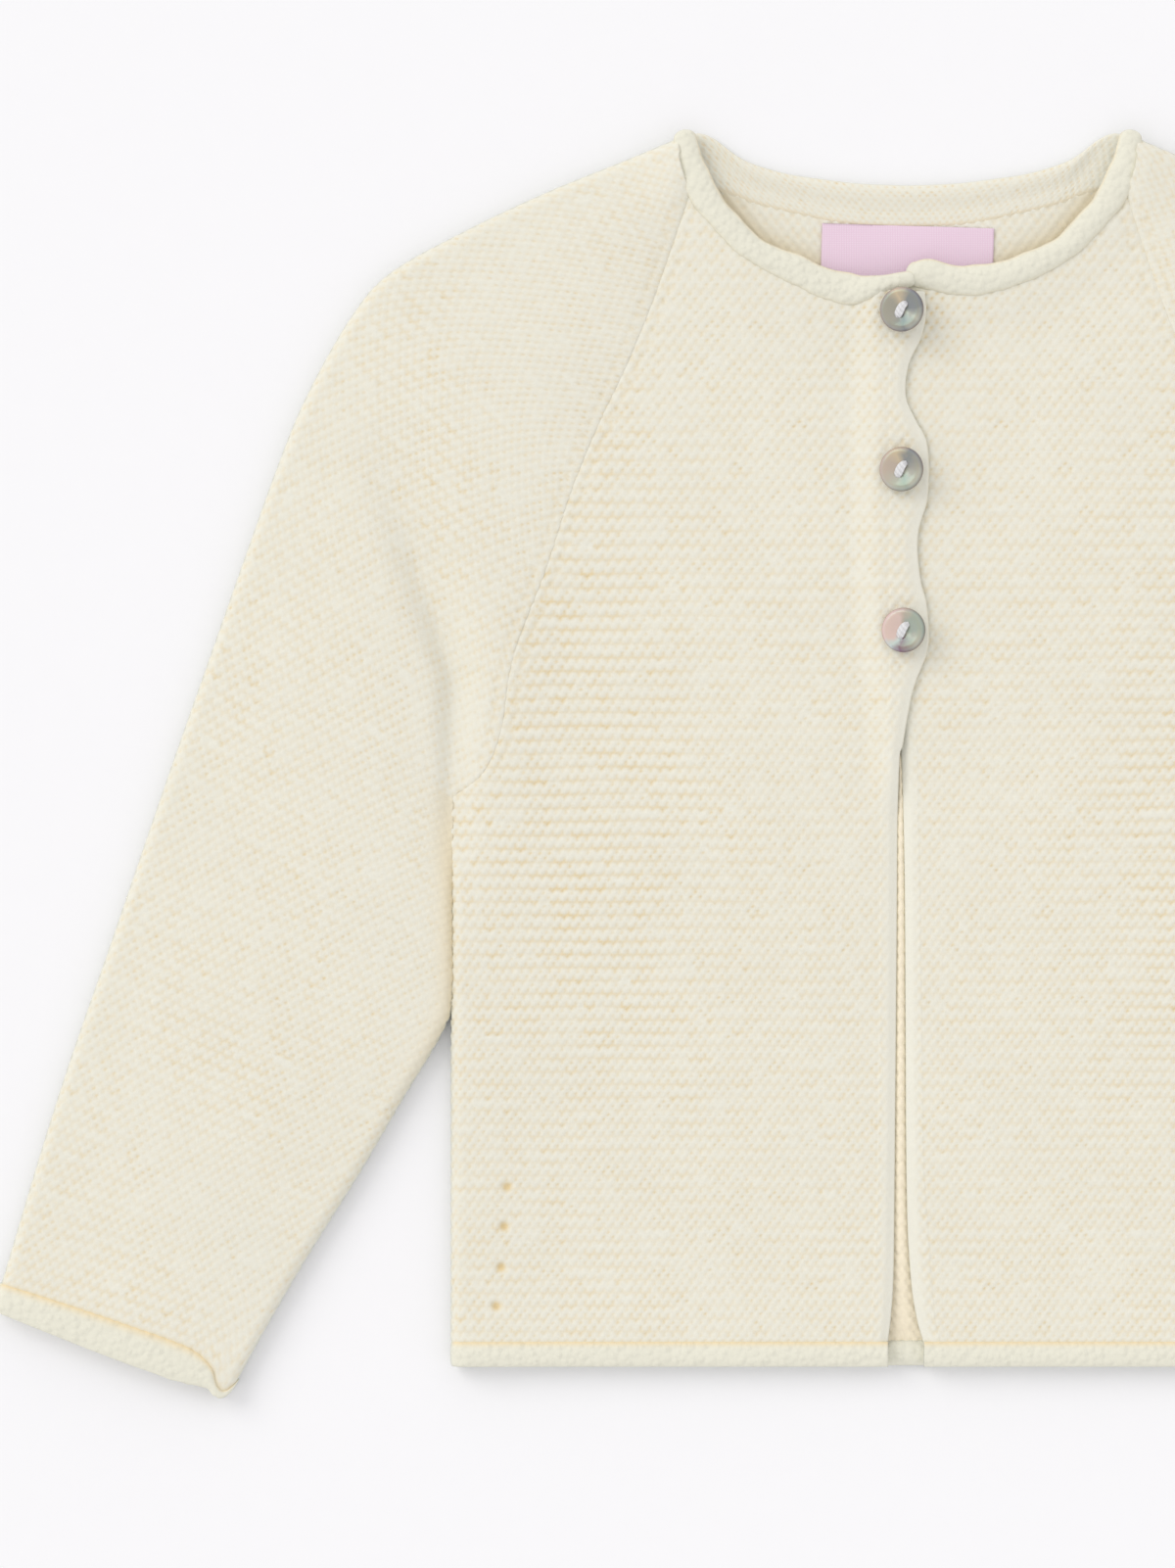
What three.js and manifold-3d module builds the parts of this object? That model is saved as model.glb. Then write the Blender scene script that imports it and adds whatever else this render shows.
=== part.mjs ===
// Baby cardigan in cream garter stitch, laid flat on its back and buttoned.
// Millimetres. +X is the viewer's right, +Y runs from hem to neck, +Z points up to the viewer.
// The cloth lies in two layers: the back on the surface, the fronts on the back, and the right
// front's edge on the left front's. Each sleeve is one wall that goes round its outer fold.
// Every piece is worked out on the viewer's left, where x is negative, and mirrored for the right.
import * as THREE from 'three';
import { mergeVertices } from 'three/addons/utils/BufferGeometryUtils.js';
import Module from 'manifold-3d';

const manifold = await Module();
manifold.setup();

// Cloth and seams
const WALL = 2.2;
const SEAM = 0.4;
const SEAM_HEIGHT = 3.0;

// Body
const BODY_HALF = 129.4;
const HEM_Y = -164.9;
const UNDERARM_Y = -10;
const FRONT_TOP = 132.9;
const WRAP_FULL_Y = -45;
const FOLD_STEP = 1.6;
const FOLD_COLUMNS = 3;

// Height of the upper cloth over the surface
const REST_HEIGHT = 5.3;
const SIDE_RISE = 1.1;
const SIDE_FROM = 95;
const SIDE_TO = 124;
const HEM_LIFT = 0.9;
const HEM_LIFT_REACH = 14;
const NECK_LIFT = 1.6;
const NECK_LIFT_REACH = 8;
const SLEEVE_EDGE_HEIGHT = 6.4;
const SLEEVE_CROWN = 1.3;
const ARMHOLE_PUFF = { x: -142, y: 55, rise: 1.5, across: 30, along: 45 };

// The right front's edge over the left front's
const OVERLAP_LIFT = 2.9;
const LIFT_LEAD = 9.5;
const LIFT_MARGIN = 1.5;
const LIFT_BOTTOM = -18;
const LIFT_FULL = -2;

// Rolled and plain edges
const EDGE_BULGE = 0.3;
const HEM_ROLL = 6.4;
const ROLL_BULGE = 1.5;
const ROLL_DITCH = 0.7;
const BACK_HEM_BULGE = 1.2;
const CUFF_ROLL = 6.9;
const CUFF_ROLL_EXTRA = 2.2;
const NECK_ROLL_HEIGHT = 6.6;
const NECK_ROLL_HALF_HEIGHT = 3.1;
const NECK_ROLL_END_DROP = 1.0;
const NECK_ROLL_END = 0.8;
const BAND_ROLL_RISE = 2.2;

// Buttons and label
const BUTTON_RADIUS = 6.35;
const BUTTON_RIM = 2.0;
const BUTTON_DOME = 0.6;
const BUTTON_HOLE_RADIUS = 0.95;
const BUTTON_HOLE_SPACING = 3.2;
const BUTTON_HOLE_ANGLE = THREE.MathUtils.degToRad(54);
const BUTTON_PLACES = [
  { name: 'button_top', x: -1.7, y: 127.9 },
  { name: 'button_middle', x: -1.7, y: 82.9 },
  { name: 'button_bottom', x: -1.1, y: 37.4 },
];
const LABEL = { x: 0.3, top: 152.4, width: 48.9, height: 18, thick: 0.6, tilt: -1.7 };

// Raglan line, from the underarm to the neck
const RAGLAN_FRONT = [
  { x: -129.4, y: -10 },
  { x: -120.5, y: -3 },
  { x: -115.3, y: 9 },
  { x: -111.9, y: 29.6 },
  { x: -102.5, y: 54.9 },
  { x: -95, y: 77.9 },
  { x: -87.5, y: 96 },
  { x: -79.5, y: 113 },
  { x: -71.1, y: 133.8 },
  { x: -62.4, y: 159.4 },
];
const RAGLAN_BACK_TOP = { x: -57.8, y: 163.3 };

// Outer fold of the sleeve, from the cuff over the shoulder to the neck
const SLEEVE_FOLD_LOW = [
  { x: -257.3, y: -148.3 },
  { x: -241.1, y: -94.9 },
  { x: -225.8, y: -50.4 },
  { x: -210.6, y: -6 },
  { x: -195, y: 38.5 },
];
const SLEEVE_FOLD_TOP = [
  { x: -195, y: 38.5 },
  { x: -179.2, y: 82.9 },
  { x: -170, y: 105 },
  { x: -157.5, y: 127 },
  { x: -146.4, y: 139.2 },
  { x: -124.2, y: 151.5 },
  { x: -101.9, y: 162 },
  { x: -79.7, y: 171 },
  { x: -67.7, y: 176.2 },
];

// Underarm edge of the sleeve, from the cuff to the underarm
const SLEEVE_UNDER = [
  { x: -188.6, y: -169.6 },
  { x: -170, y: -139.3 },
  { x: -156.1, y: -117.1 },
  { x: -143.1, y: -94.9 },
  { x: -132.6, y: -76.5 },
  { x: -129.9, y: -66 },
  { x: -129.8, y: -40 },
  { x: -129.8, y: -10 },
];

// Middle line and half width of the rolled neck edge, from the buttons to the shoulder
const NECK_ROLL_RIGHT = [
  { x: -3.3, y: 135.4, r: 1.2 },
  { x: -9.2, y: 134.3, r: 2.7 },
  { x: -15.3, y: 134, r: 4.3 },
  { x: -24.2, y: 136, r: 4.4 },
  { x: -31.2, y: 139.4, r: 4.2 },
  { x: -38.3, y: 142.4, r: 3.8 },
  { x: -45, y: 146.3, r: 3.7 },
  { x: -50, y: 151.3, r: 3.8 },
  { x: -56.9, y: 159.3, r: 4.1 },
  { x: -61.9, y: 169.9, r: 4.2 },
  { x: -63.1, y: 176.8, r: 3.3 },
];
const NECK_ROLL_LEFT = [
  { x: -2.2, y: 138.2, r: 3.6 },
  { x: -6.4, y: 138.2, r: 4.4 },
  { x: -11.9, y: 136.8, r: 4.3 },
  { x: -17.5, y: 136.5, r: 4.3 },
  { x: -23.1, y: 137.2, r: 4.2 },
  { x: -28.6, y: 138.5, r: 4.1 },
  { x: -38.3, y: 142.4, r: 3.8 },
  { x: -45, y: 146.3, r: 3.7 },
  { x: -50, y: 151.3, r: 3.8 },
  { x: -56.9, y: 159.3, r: 4.1 },
  { x: -61.9, y: 169.9, r: 4.2 },
  { x: -63.1, y: 176.8, r: 3.3 },
];

// Lower and upper edge of the back neck band, from the shoulder to the middle of the back
const BAND_LOW = [
  { x: -57.2, y: 163.6 },
  { x: -49.2, y: 161.5 },
  { x: -42.2, y: 158.8 },
  { x: -24.2, y: 154.6 },
  { x: -13, y: 152.9 },
  { x: 0, y: 152.4 },
];
const BAND_TOP = [
  { x: -65.4, y: 177.0 },
  { x: -59.7, y: 178.8 },
  { x: -54.7, y: 177.2 },
  { x: -46.4, y: 171.3 },
  { x: -35.3, y: 167.6 },
  { x: -24.2, y: 165.8 },
  { x: -13, y: 164.5 },
  { x: 0, y: 164 },
];

// Edge of the right front, which swells round each button, and of the left front below it
const RIGHT_EDGE = [
  { y: -175, x: -6.1 },
  { y: -164.9, x: -5.6 },
  { y: -157.4, x: -4.7 },
  { y: -144.9, x: -3.9 },
  { y: -117, x: -3.6 },
  { y: -60, x: -3.1 },
  { y: -4, x: -2.6 },
  { y: 4.9, x: -1.4 },
  { y: 12.6, x: -0.1 },
  { y: 21.5, x: 1.8 },
  { y: 31.3, x: 5.5 },
  { y: 38, x: 5.9 },
  { y: 45.6, x: 5.3 },
  { y: 51, x: 3.8 },
  { y: 59.9, x: 2.8 },
  { y: 66.7, x: 3.3 },
  { y: 74, x: 5.5 },
  { y: 83, x: 6.0 },
  { y: 91.2, x: 5.3 },
  { y: 97.1, x: 2.2 },
  { y: 104, x: -0.6 },
  { y: 112.9, x: 0.3 },
  { y: 120.7, x: 3.8 },
  { y: 127.5, x: 5.2 },
  { y: 135, x: 4.6 },
];
const LEFT_EDGE = [
  { y: -175, x: 6.7 },
  { y: -164.9, x: 4.6 },
  { y: -157.4, x: 2.5 },
  { y: -144.9, x: 0.8 },
  { y: -117, x: -0.3 },
  { y: -34, x: -0.8 },
  { y: 2.4, x: -1.9 },
  { y: 25, x: -3.5 },
  { y: 50, x: -6 },
  { y: 135, x: -6 },
];

// Where each front's cloth ends and its edge band starts
const RIGHT_BAND_START = [
  { y: -175, x: -9.2 },
  { y: -117, x: -6.8 },
  { y: -4, x: -5.8 },
  { y: 25, x: -3.6 },
  { y: 135, x: -3.6 },
];
const LEFT_BAND_START = [
  { y: -175, x: 9.8 },
  { y: -157, x: 5.8 },
  { y: -117, x: 2.9 },
  { y: 2.4, x: 1.2 },
  { y: 50, x: -2.8 },
  { y: 135, x: -2.8 },
];

// Soft troughs in the upper cloth: where the sleeve bends at the underarm, and inside the raglan
const TROUGHS = [
  [
    { x: -146, y: 94, depth: 0.3, width: 12 },
    { x: -142.8, y: 75.8, depth: 1.0, width: 10 },
    { x: -131.1, y: 38.5, depth: 2.3, width: 8 },
    { x: -128.1, y: 24.6, depth: 2.5, width: 7 },
    { x: -129.4, y: -10, depth: 1.3, width: 6 },
    { x: -129.4, y: -34, depth: 0, width: 6 },
  ],
  [
    { x: -107, y: 66, depth: 0, width: 13 },
    { x: -98, y: 42, depth: 0.6, width: 14 },
    { x: -88, y: 12, depth: 0.4, width: 15 },
    { x: -84, y: -6, depth: 0, width: 15 },
  ],
];

// Numbers of rows and columns
const SIDE_ROWS = 7;
const RAGLAN_ROWS = 12;
const SLEEVE_ROWS = 8;
const FRONT_COLUMNS = 9;
const BACK_COLUMNS = 8;
const SLEEVE_COLUMNS = 7;
const SLEEVE_FOLD_POINTS = 5;
const EDGE_STEPS = 3;
const NECK_STEPS = 21;
const ROLL_SIDES = 10;
const HEM_STEPS = 4;
const TOP_ROW_REACH = 3;

const { lerp, smoothstep, clamp } = THREE.MathUtils;

// A smooth line through the rows of a table, as many short steps that hold every column.
function smoothRows(table, steps = 10) {
  const columns = Object.keys(table[0]);
  const rows = [];
  for (let i = 0; i < table.length - 1; i += 1) {
    const a = table[Math.max(i - 1, 0)];
    const b = table[i];
    const c = table[i + 1];
    const d = table[Math.min(i + 2, table.length - 1)];
    for (let k = 0; k < steps; k += 1) {
      const t = k / steps;
      const row = {};
      for (const key of columns) {
        const bend = t * t * (3 - 2 * t);
        const leave = (t * t * t - 2 * t * t + t) * 0.5 * (c[key] - a[key]);
        const arrive = (t * t * t - t * t) * 0.5 * (d[key] - b[key]);
        row[key] = lerp(b[key], c[key], bend) + leave + arrive;
      }
      rows.push(row);
    }
  }
  rows.push({ ...table[table.length - 1] });
  return rows;
}

// A function that gives the place at a share 0 to 1 of a line's length.
function alongLine(table, steps = 10) {
  const rows = smoothRows(table, steps);
  const reach = [0];
  for (let i = 1; i < rows.length; i += 1) {
    reach.push(reach[i - 1] + Math.hypot(rows[i].x - rows[i - 1].x, rows[i].y - rows[i - 1].y));
  }
  const whole = reach[reach.length - 1];
  return (share) => {
    const wanted = clamp(share, 0, 1) * whole;
    let i = 1;
    while (i < rows.length - 1 && reach[i] < wanted) i += 1;
    const t = (wanted - reach[i - 1]) / (reach[i] - reach[i - 1]);
    const place = {};
    for (const key of Object.keys(rows[0])) place[key] = lerp(rows[i - 1][key], rows[i][key], t);
    return place;
  };
}

// The x of an edge at a height y.
function edgeAt(rows, y) {
  let i = 1;
  while (i < rows.length - 1 && rows[i].y < y) i += 1;
  const t = clamp((y - rows[i - 1].y) / (rows[i].y - rows[i - 1].y), 0, 1);
  return lerp(rows[i - 1].x, rows[i].x, t);
}

// The nearest place on a line to a point, with the distance to it.
function nearest(rows, x, y) {
  let best = { distance: Infinity };
  for (let i = 1; i < rows.length; i += 1) {
    const a = rows[i - 1];
    const b = rows[i];
    const run = { x: b.x - a.x, y: b.y - a.y };
    const t = clamp(((x - a.x) * run.x + (y - a.y) * run.y) / (run.x ** 2 + run.y ** 2), 0, 1);
    const distance = Math.hypot(x - a.x - t * run.x, y - a.y - t * run.y);
    if (distance < best.distance) best = { distance, a, b, t };
  }
  return best;
}

const rightEdge = smoothRows(RIGHT_EDGE, 4);
const leftEdge = smoothRows(LEFT_EDGE, 4);
const neckLines = { right: smoothRows(NECK_ROLL_RIGHT, 3), left: smoothRows(NECK_ROLL_LEFT, 3) };
const bell = (distance, width) => Math.exp(-((distance / width) ** 2));

// What lifts or sinks the upper cloth wherever it is: the neck roll, the puff and the troughs.
function commonRise(side, x, y) {
  const neck = nearest(neckLines[side], x, y);
  const fromRoll = Math.max(neck.distance - lerp(neck.a.r, neck.b.r, neck.t), 0);
  let rise = NECK_LIFT * bell(fromRoll, NECK_LIFT_REACH);
  const puff = ARMHOLE_PUFF;
  rise += puff.rise * bell(x - puff.x, puff.across) * bell(y - puff.y, puff.along);
  for (const trough of TROUGHS) {
    const { distance, a, b, t } = nearest(trough, x, y);
    rise -= lerp(a.depth, b.depth, t) * bell(distance, lerp(a.width, b.width, t));
  }
  return rise;
}

// Height of the fronts' upper face, before the overlap and the common rise.
function bodyHeight(x, y) {
  const side = smoothstep(-x, SIDE_FROM, SIDE_TO);
  const hem = HEM_LIFT * bell(y - HEM_Y, HEM_LIFT_REACH) * (1 - 0.6 * side);
  return REST_HEIGHT + SIDE_RISE * side + hem;
}

// How far the right front is lifted where it lies on the left front.
function overlapLift(x, y) {
  const under = edgeAt(leftEdge, y);
  const across = smoothstep(x, under - LIFT_MARGIN - LIFT_LEAD, under - LIFT_MARGIN);
  return OVERLAP_LIFT * across * smoothstep(y, LIFT_BOTTOM, LIFT_FULL);
}

const frontHeight = {
  right: (x, y) => bodyHeight(x, y) + commonRise('right', x, y) + overlapLift(x, y),
  left: (x, y) => bodyHeight(x, y) + commonRise('left', x, y),
};

// How far an edge is rolled down at the side seam: not at all above the underarm.
const wrapAt = (y) => (Math.PI / 2) * smoothstep(-y, -UNDERARM_Y, -WRAP_FULL_Y);

// One point of a layer near its folded edge, at a length s along the cloth from the edge.
// It gives the distance inwards and the height of the wall's outer and inner face, where the
// flat cloth's outer face is at 0 and its inner face at -WALL.
function foldPoint(s, radius, wrap) {
  const start = radius * Math.sin(wrap);
  if (s >= radius * wrap) {
    const inward = start + s - radius * wrap;
    return { outer: { d: inward, z: 0 }, inner: { d: inward, z: -WALL } };
  }
  const angle = Math.PI / 2 - wrap + s / radius;
  const face = (r) => ({ d: start - r * Math.cos(angle), z: r * Math.sin(angle) - radius });
  return { outer: face(radius), inner: face(radius - WALL) };
}

// A row of the upper layer, from its folded edge at a to its plain edge at b.
function upperRow({ a, b, wrap, columns, height, bow = () => ({ x: 0, y: 0 }), endInset = 0 }) {
  const width = Math.hypot(b.x - a.x, b.y - a.y) - endInset;
  const along = { x: (b.x - a.x) / (width + endInset), y: (b.y - a.y) / (width + endInset) };
  const edgeHeight = height(a.x, a.y, 0);
  const radius = edgeHeight - SEAM_HEIGHT - 0.15;
  const row = { outer: [], inner: [] };
  const put = (list, d, z) => {
    const share = clamp(d / (width + endInset), 0, 1);
    const off = bow(share);
    list.push(new THREE.Vector3(a.x + along.x * d + off.x, a.y + along.y * d + off.y, z));
  };
  for (let k = 0; k < FOLD_COLUMNS; k += 1) {
    const { outer, inner } = foldPoint(k * FOLD_STEP, radius, wrap);
    put(row.outer, outer.d, edgeHeight + outer.z);
    put(row.inner, inner.d, edgeHeight + inner.z);
  }
  const first = foldPoint(FOLD_COLUMNS * FOLD_STEP, radius, wrap).outer.d;
  for (let k = 0; k <= columns; k += 1) {
    const d = lerp(first, width, k / columns);
    const off = bow(clamp(d / (width + endInset), 0, 1));
    const z = height(a.x + along.x * d + off.x, a.y + along.y * d + off.y, d / width);
    put(row.outer, d, z);
    put(row.inner, d, z - WALL);
  }
  return { ...row, along };
}

// The folded edge of the lower layer, from the seam at a inwards along a direction.
function lowerFold(a, along, wrap) {
  const radius = SEAM_HEIGHT - 0.15;
  const row = { outer: [], inner: [] };
  for (let k = 0; k <= FOLD_COLUMNS; k += 1) {
    const { outer, inner } = foldPoint(k * FOLD_STEP, radius, wrap);
    for (const [list, face] of [[row.outer, outer], [row.inner, inner]]) {
      list.push(new THREE.Vector3(a.x + along.x * face.d, a.y + along.y * face.d, -face.z));
    }
  }
  return row;
}

// A closed mesh from triangles of point numbers, turned so that its faces point out.
function closedGeometry(points, faces) {
  let volume = 0;
  for (const [a, b, c] of faces) {
    volume += points[a].dot(new THREE.Vector3().crossVectors(points[b], points[c]));
  }
  const index = faces.flatMap(([a, b, c]) => (volume > 0 ? [a, b, c] : [a, c, b]));
  const geometry = new THREE.BufferGeometry().setFromPoints(points);
  geometry.setIndex(index);
  geometry.computeVertexNormals();
  return geometry;
}

// A wall between two grids of points, closed round its four sides.
function wallGeometry(rows) {
  const high = rows.length;
  const wide = rows[0].outer.length;
  const points = [...rows.flatMap((row) => row.outer), ...rows.flatMap((row) => row.inner)];
  const outer = (i, j) => i * wide + j;
  const inner = (i, j) => high * wide + i * wide + j;
  const faces = [];
  const quad = (a, b, c, d) => faces.push([a, b, c], [a, c, d]);
  for (let i = 0; i < high - 1; i += 1) {
    for (let j = 0; j < wide - 1; j += 1) {
      quad(outer(i, j), outer(i, j + 1), outer(i + 1, j + 1), outer(i + 1, j));
      quad(inner(i, j), inner(i + 1, j), inner(i + 1, j + 1), inner(i, j + 1));
    }
    quad(outer(i, 0), outer(i + 1, 0), inner(i + 1, 0), inner(i, 0));
    quad(outer(i + 1, wide - 1), outer(i, wide - 1), inner(i, wide - 1), inner(i + 1, wide - 1));
  }
  for (let j = 0; j < wide - 1; j += 1) {
    quad(outer(0, j + 1), outer(0, j), inner(0, j), inner(0, j + 1));
    quad(outer(high - 1, j), outer(high - 1, j + 1), inner(high - 1, j + 1), inner(high - 1, j));
  }
  return closedGeometry(points, faces);
}

// A solid roll through closed rings of points, with a flat or rounded end at each side.
function ringGeometry(rings) {
  const count = rings[0].length;
  const points = rings.flat();
  const faces = [];
  for (let i = 0; i < rings.length - 1; i += 1) {
    for (let j = 0; j < count; j += 1) {
      const next = (j + 1) % count;
      const [a, b] = [i * count + j, i * count + next];
      faces.push([a, b, b + count], [a, b + count, a + count]);
    }
  }
  for (const [first, turn] of [[0, true], [(rings.length - 1) * count, false]]) {
    const middle = new THREE.Vector3();
    for (let j = 0; j < count; j += 1) middle.addScaledVector(points[first + j], 1 / count);
    points.push(middle);
    for (let j = 0; j < count; j += 1) {
      const [a, b] = [first + j, first + ((j + 1) % count)];
      faces.push(turn ? [points.length - 1, b, a] : [points.length - 1, a, b]);
    }
  }
  return closedGeometry(points, faces);
}

const mirrored = (point) => new THREE.Vector3(-point.x, point.y, point.z);
const mirrorRows = (rows) => rows.map(({ outer, inner }) => (
  { outer: outer.map(mirrored), inner: inner.map(mirrored) }));
const placeWall = (rows, side) => wallGeometry(side === 'left' ? mirrorRows(rows) : rows);

// The neck edge of the cloth, kept clear of the roll that finishes it.
function clearOfRoll(table, gap) {
  return table.map((row, i) => {
    const before = table[Math.max(i - 1, 0)];
    const after = table[Math.min(i + 1, table.length - 1)];
    const length = Math.hypot(after.x - before.x, after.y - before.y);
    const reach = row.r + gap;
    return {
      x: row.x - ((after.y - before.y) / length) * reach,
      y: row.y + ((after.x - before.x) / length) * reach,
    };
  });
}

// The share of a piece's height at which its top edge starts to bend the rows below it.
const topPull = (share) => share ** TOP_ROW_REACH;

// A bow that takes the straight row from a to b onto a curved line, by a given amount.
function bowTo(curve, a, b, amount) {
  return (share) => {
    const place = curve(share);
    return {
      x: amount * (place.x - lerp(a.x, b.x, share)),
      y: amount * (place.y - lerp(a.y, b.y, share)),
    };
  };
}

const shift = (place, x, y = 0) => ({ x: place.x + x, y: place.y + y });
const raglanFront = alongLine(RAGLAN_FRONT);
const raglanBack = alongLine([...RAGLAN_FRONT.slice(0, -1), RAGLAN_BACK_TOP]);

// Where a front's cloth meets its edge band, at a height y, seen as on the right front.
const bandStart = (side, y) => (side === 'right'
  ? edgeAt(RIGHT_BAND_START, y) : -edgeAt(LEFT_BAND_START, y));

// The end of a front's row at its edge band.
function frontRowEnd(side, i) {
  const above = Math.max(i - SIDE_ROWS, 0) / RAGLAN_ROWS;
  const y = above > 0 ? lerp(UNDERARM_Y, FRONT_TOP, above) : lerp(HEM_Y, UNDERARM_Y, i / SIDE_ROWS);
  return { x: bandStart(side, y), y };
}

// A front: from the side seam and raglan to the narrow band along its edge.
function frontRows(side) {
  const table = side === 'right' ? NECK_ROLL_RIGHT : NECK_ROLL_LEFT;
  const rolled = clearOfRoll(table, SEAM);
  const neckEnd = shift(raglanFront(1), SEAM / 2);
  const kept = rolled.filter((place) => place.x > neckEnd.x + 1).reverse();
  const corner = { x: bandStart(side, FRONT_TOP), y: FRONT_TOP };
  const neckline = alongLine([neckEnd, ...kept, corner], 6);
  const rows = [];
  for (let i = 0; i <= SIDE_ROWS + RAGLAN_ROWS; i += 1) {
    const above = Math.max(i - SIDE_ROWS, 0) / RAGLAN_ROWS;
    const below = Math.min(i / SIDE_ROWS, 1);
    const sideY = lerp(HEM_Y, UNDERARM_Y, below);
    const a = above > 0 ? shift(raglanFront(above), SEAM / 2) : { x: -BODY_HALF, y: sideY };
    const b = frontRowEnd(side, i);
    const bow = bowTo(neckline, neckEnd, corner, topPull(above));
    const height = frontHeight[side];
    rows.push(upperRow({ a, b, wrap: wrapAt(a.y), columns: FRONT_COLUMNS, height, bow }));
  }
  return rows;
}

// The back: flat on the surface from side to side, with its folded edges turned up to the seams.
function backRows() {
  const half = alongLine(BAND_LOW, 6);
  const low = (share) => {
    const place = half(share < 0.5 ? share * 2 : 2 - share * 2);
    return { x: share < 0.5 ? place.x : -place.x, y: place.y - SEAM };
  };
  const rows = [];
  for (let i = 0; i <= SIDE_ROWS + RAGLAN_ROWS; i += 1) {
    const above = Math.max(i - SIDE_ROWS, 0) / RAGLAN_ROWS;
    const sideY = lerp(HEM_Y, UNDERARM_Y, Math.min(i / SIDE_ROWS, 1));
    const a = above > 0 ? shift(raglanBack(above), SEAM / 2) : { x: -BODY_HALF, y: sideY };
    const b = { x: -a.x, y: a.y };
    const left = lowerFold(a, { x: 1, y: 0 }, wrapAt(a.y));
    const row = { outer: [...left.outer], inner: [...left.inner] };
    const start = left.outer[left.outer.length - 1].x;
    for (let k = 1; k < BACK_COLUMNS; k += 1) {
      const x = lerp(start, -start, k / BACK_COLUMNS);
      row.outer.push(new THREE.Vector3(x, a.y, 0));
      row.inner.push(new THREE.Vector3(x, a.y, WALL));
    }
    row.outer.push(...left.outer.map(mirrored).reverse());
    row.inner.push(...left.inner.map(mirrored).reverse());
    const bow = bowTo(low, low(0), low(1), topPull(above));
    for (const list of [row.outer, row.inner]) {
      for (const point of list) {
        const share = clamp((point.x - a.x) / (b.x - a.x), 0, 1);
        const off = bow(share);
        point.x += off.x;
        point.y += off.y;
      }
    }
    rows.push(row);
  }
  return rows;
}

const foldLow = alongLine(SLEEVE_FOLD_LOW);
const foldTop = alongLine(SLEEVE_FOLD_TOP);
const under = alongLine(SLEEVE_UNDER);

// One row of a sleeve: over the arm, round the outer fold and back under it.
function sleeveRow({ side, inFront, inBack, fold, edgeRise, wrap, bow }) {
  const reach = Math.hypot(fold.x - inFront.x, fold.y - inFront.y);
  const near = 1 - SLEEVE_EDGE_HEIGHT / 2 / reach;
  const foldHeight = SLEEVE_EDGE_HEIGHT
    + commonRise(side, lerp(inFront.x, fold.x, near), lerp(inFront.y, fold.y, near));
  const radius = foldHeight / 2;
  const height = (x, y, share) => {
    const rise = commonRise(side, x, y);
    const plain = lerp(edgeRise, SLEEVE_EDGE_HEIGHT, share) + SLEEVE_CROWN * Math.sin(Math.PI * share);
    return share >= 1 ? foldHeight : plain + rise;
  };
  const front = upperRow({
    a: inFront, b: fold, wrap, columns: SLEEVE_COLUMNS, height, bow, endInset: radius });
  const width = Math.hypot(fold.x - inBack.x, fold.y - inBack.y);
  const backAlong = { x: (fold.x - inBack.x) / width, y: (fold.y - inBack.y) / width };
  const row = { outer: [...front.outer], inner: [...front.inner] };
  for (let k = 1; k < SLEEVE_FOLD_POINTS; k += 1) {
    const turn = k / SLEEVE_FOLD_POINTS;
    const angle = Math.PI * (0.5 - turn);
    const along = {
      x: lerp(front.along.x, backAlong.x, turn),
      y: lerp(front.along.y, backAlong.y, turn),
    };
    for (const [list, r] of [[row.outer, radius], [row.inner, radius - WALL]]) {
      const out = r * Math.cos(angle) - radius;
      list.push(new THREE.Vector3(
        fold.x + along.x * out, fold.y + along.y * out, radius + r * Math.sin(angle)));
    }
  }
  const back = lowerFold(inBack, backAlong, wrap);
  const flat = back.outer[FOLD_COLUMNS];
  const first = Math.hypot(flat.x - inBack.x, flat.y - inBack.y);
  for (let k = 0; k < SLEEVE_COLUMNS; k += 1) {
    const d = lerp(width - radius, first, k / SLEEVE_COLUMNS);
    const place = [inBack.x + backAlong.x * d, inBack.y + backAlong.y * d];
    row.outer.push(new THREE.Vector3(...place, 0));
    row.inner.push(new THREE.Vector3(...place, WALL));
  }
  row.outer.push(...back.outer.reverse());
  row.inner.push(...back.inner.reverse());
  return row;
}

// A sleeve, from the cuff to the underarm and on between the raglan lines to the neck.
function sleeveRows(side) {
  const table = side === 'right' ? NECK_ROLL_RIGHT : NECK_ROLL_LEFT;
  const neckFront = shift(raglanFront(1), -SEAM / 2);
  const neckFold = foldTop(1);
  const edge = clearOfRoll(table, 2 * SEAM).filter((place) => place.y > neckFront.y + 3).slice(0, -1);
  const topLine = alongLine([neckFront, ...edge, neckFold], 6);
  const rows = [];
  for (let i = 0; i <= SLEEVE_ROWS; i += 1) {
    const share = i / SLEEVE_ROWS;
    const inner = under(share);
    const last = i === SLEEVE_ROWS;
    const inFront = last ? shift(raglanFront(0), -SEAM) : inner;
    rows.push(sleeveRow({
      side, inFront, inBack: inFront, fold: foldLow(share), edgeRise: SLEEVE_EDGE_HEIGHT,
      wrap: wrapAt(inFront.y) }));
  }
  for (let i = 1; i <= RAGLAN_ROWS; i += 1) {
    const share = i / RAGLAN_ROWS;
    const inFront = shift(raglanFront(share), -SEAM / 2);
    rows.push(sleeveRow({
      side, inFront, inBack: shift(raglanBack(share), -SEAM / 2), fold: foldTop(share),
      edgeRise: bodyHeight(inFront.x, inFront.y), wrap: 0,
      bow: bowTo(topLine, neckFront, neckFold, topPull(share)) }));
  }
  return rows;
}

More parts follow.
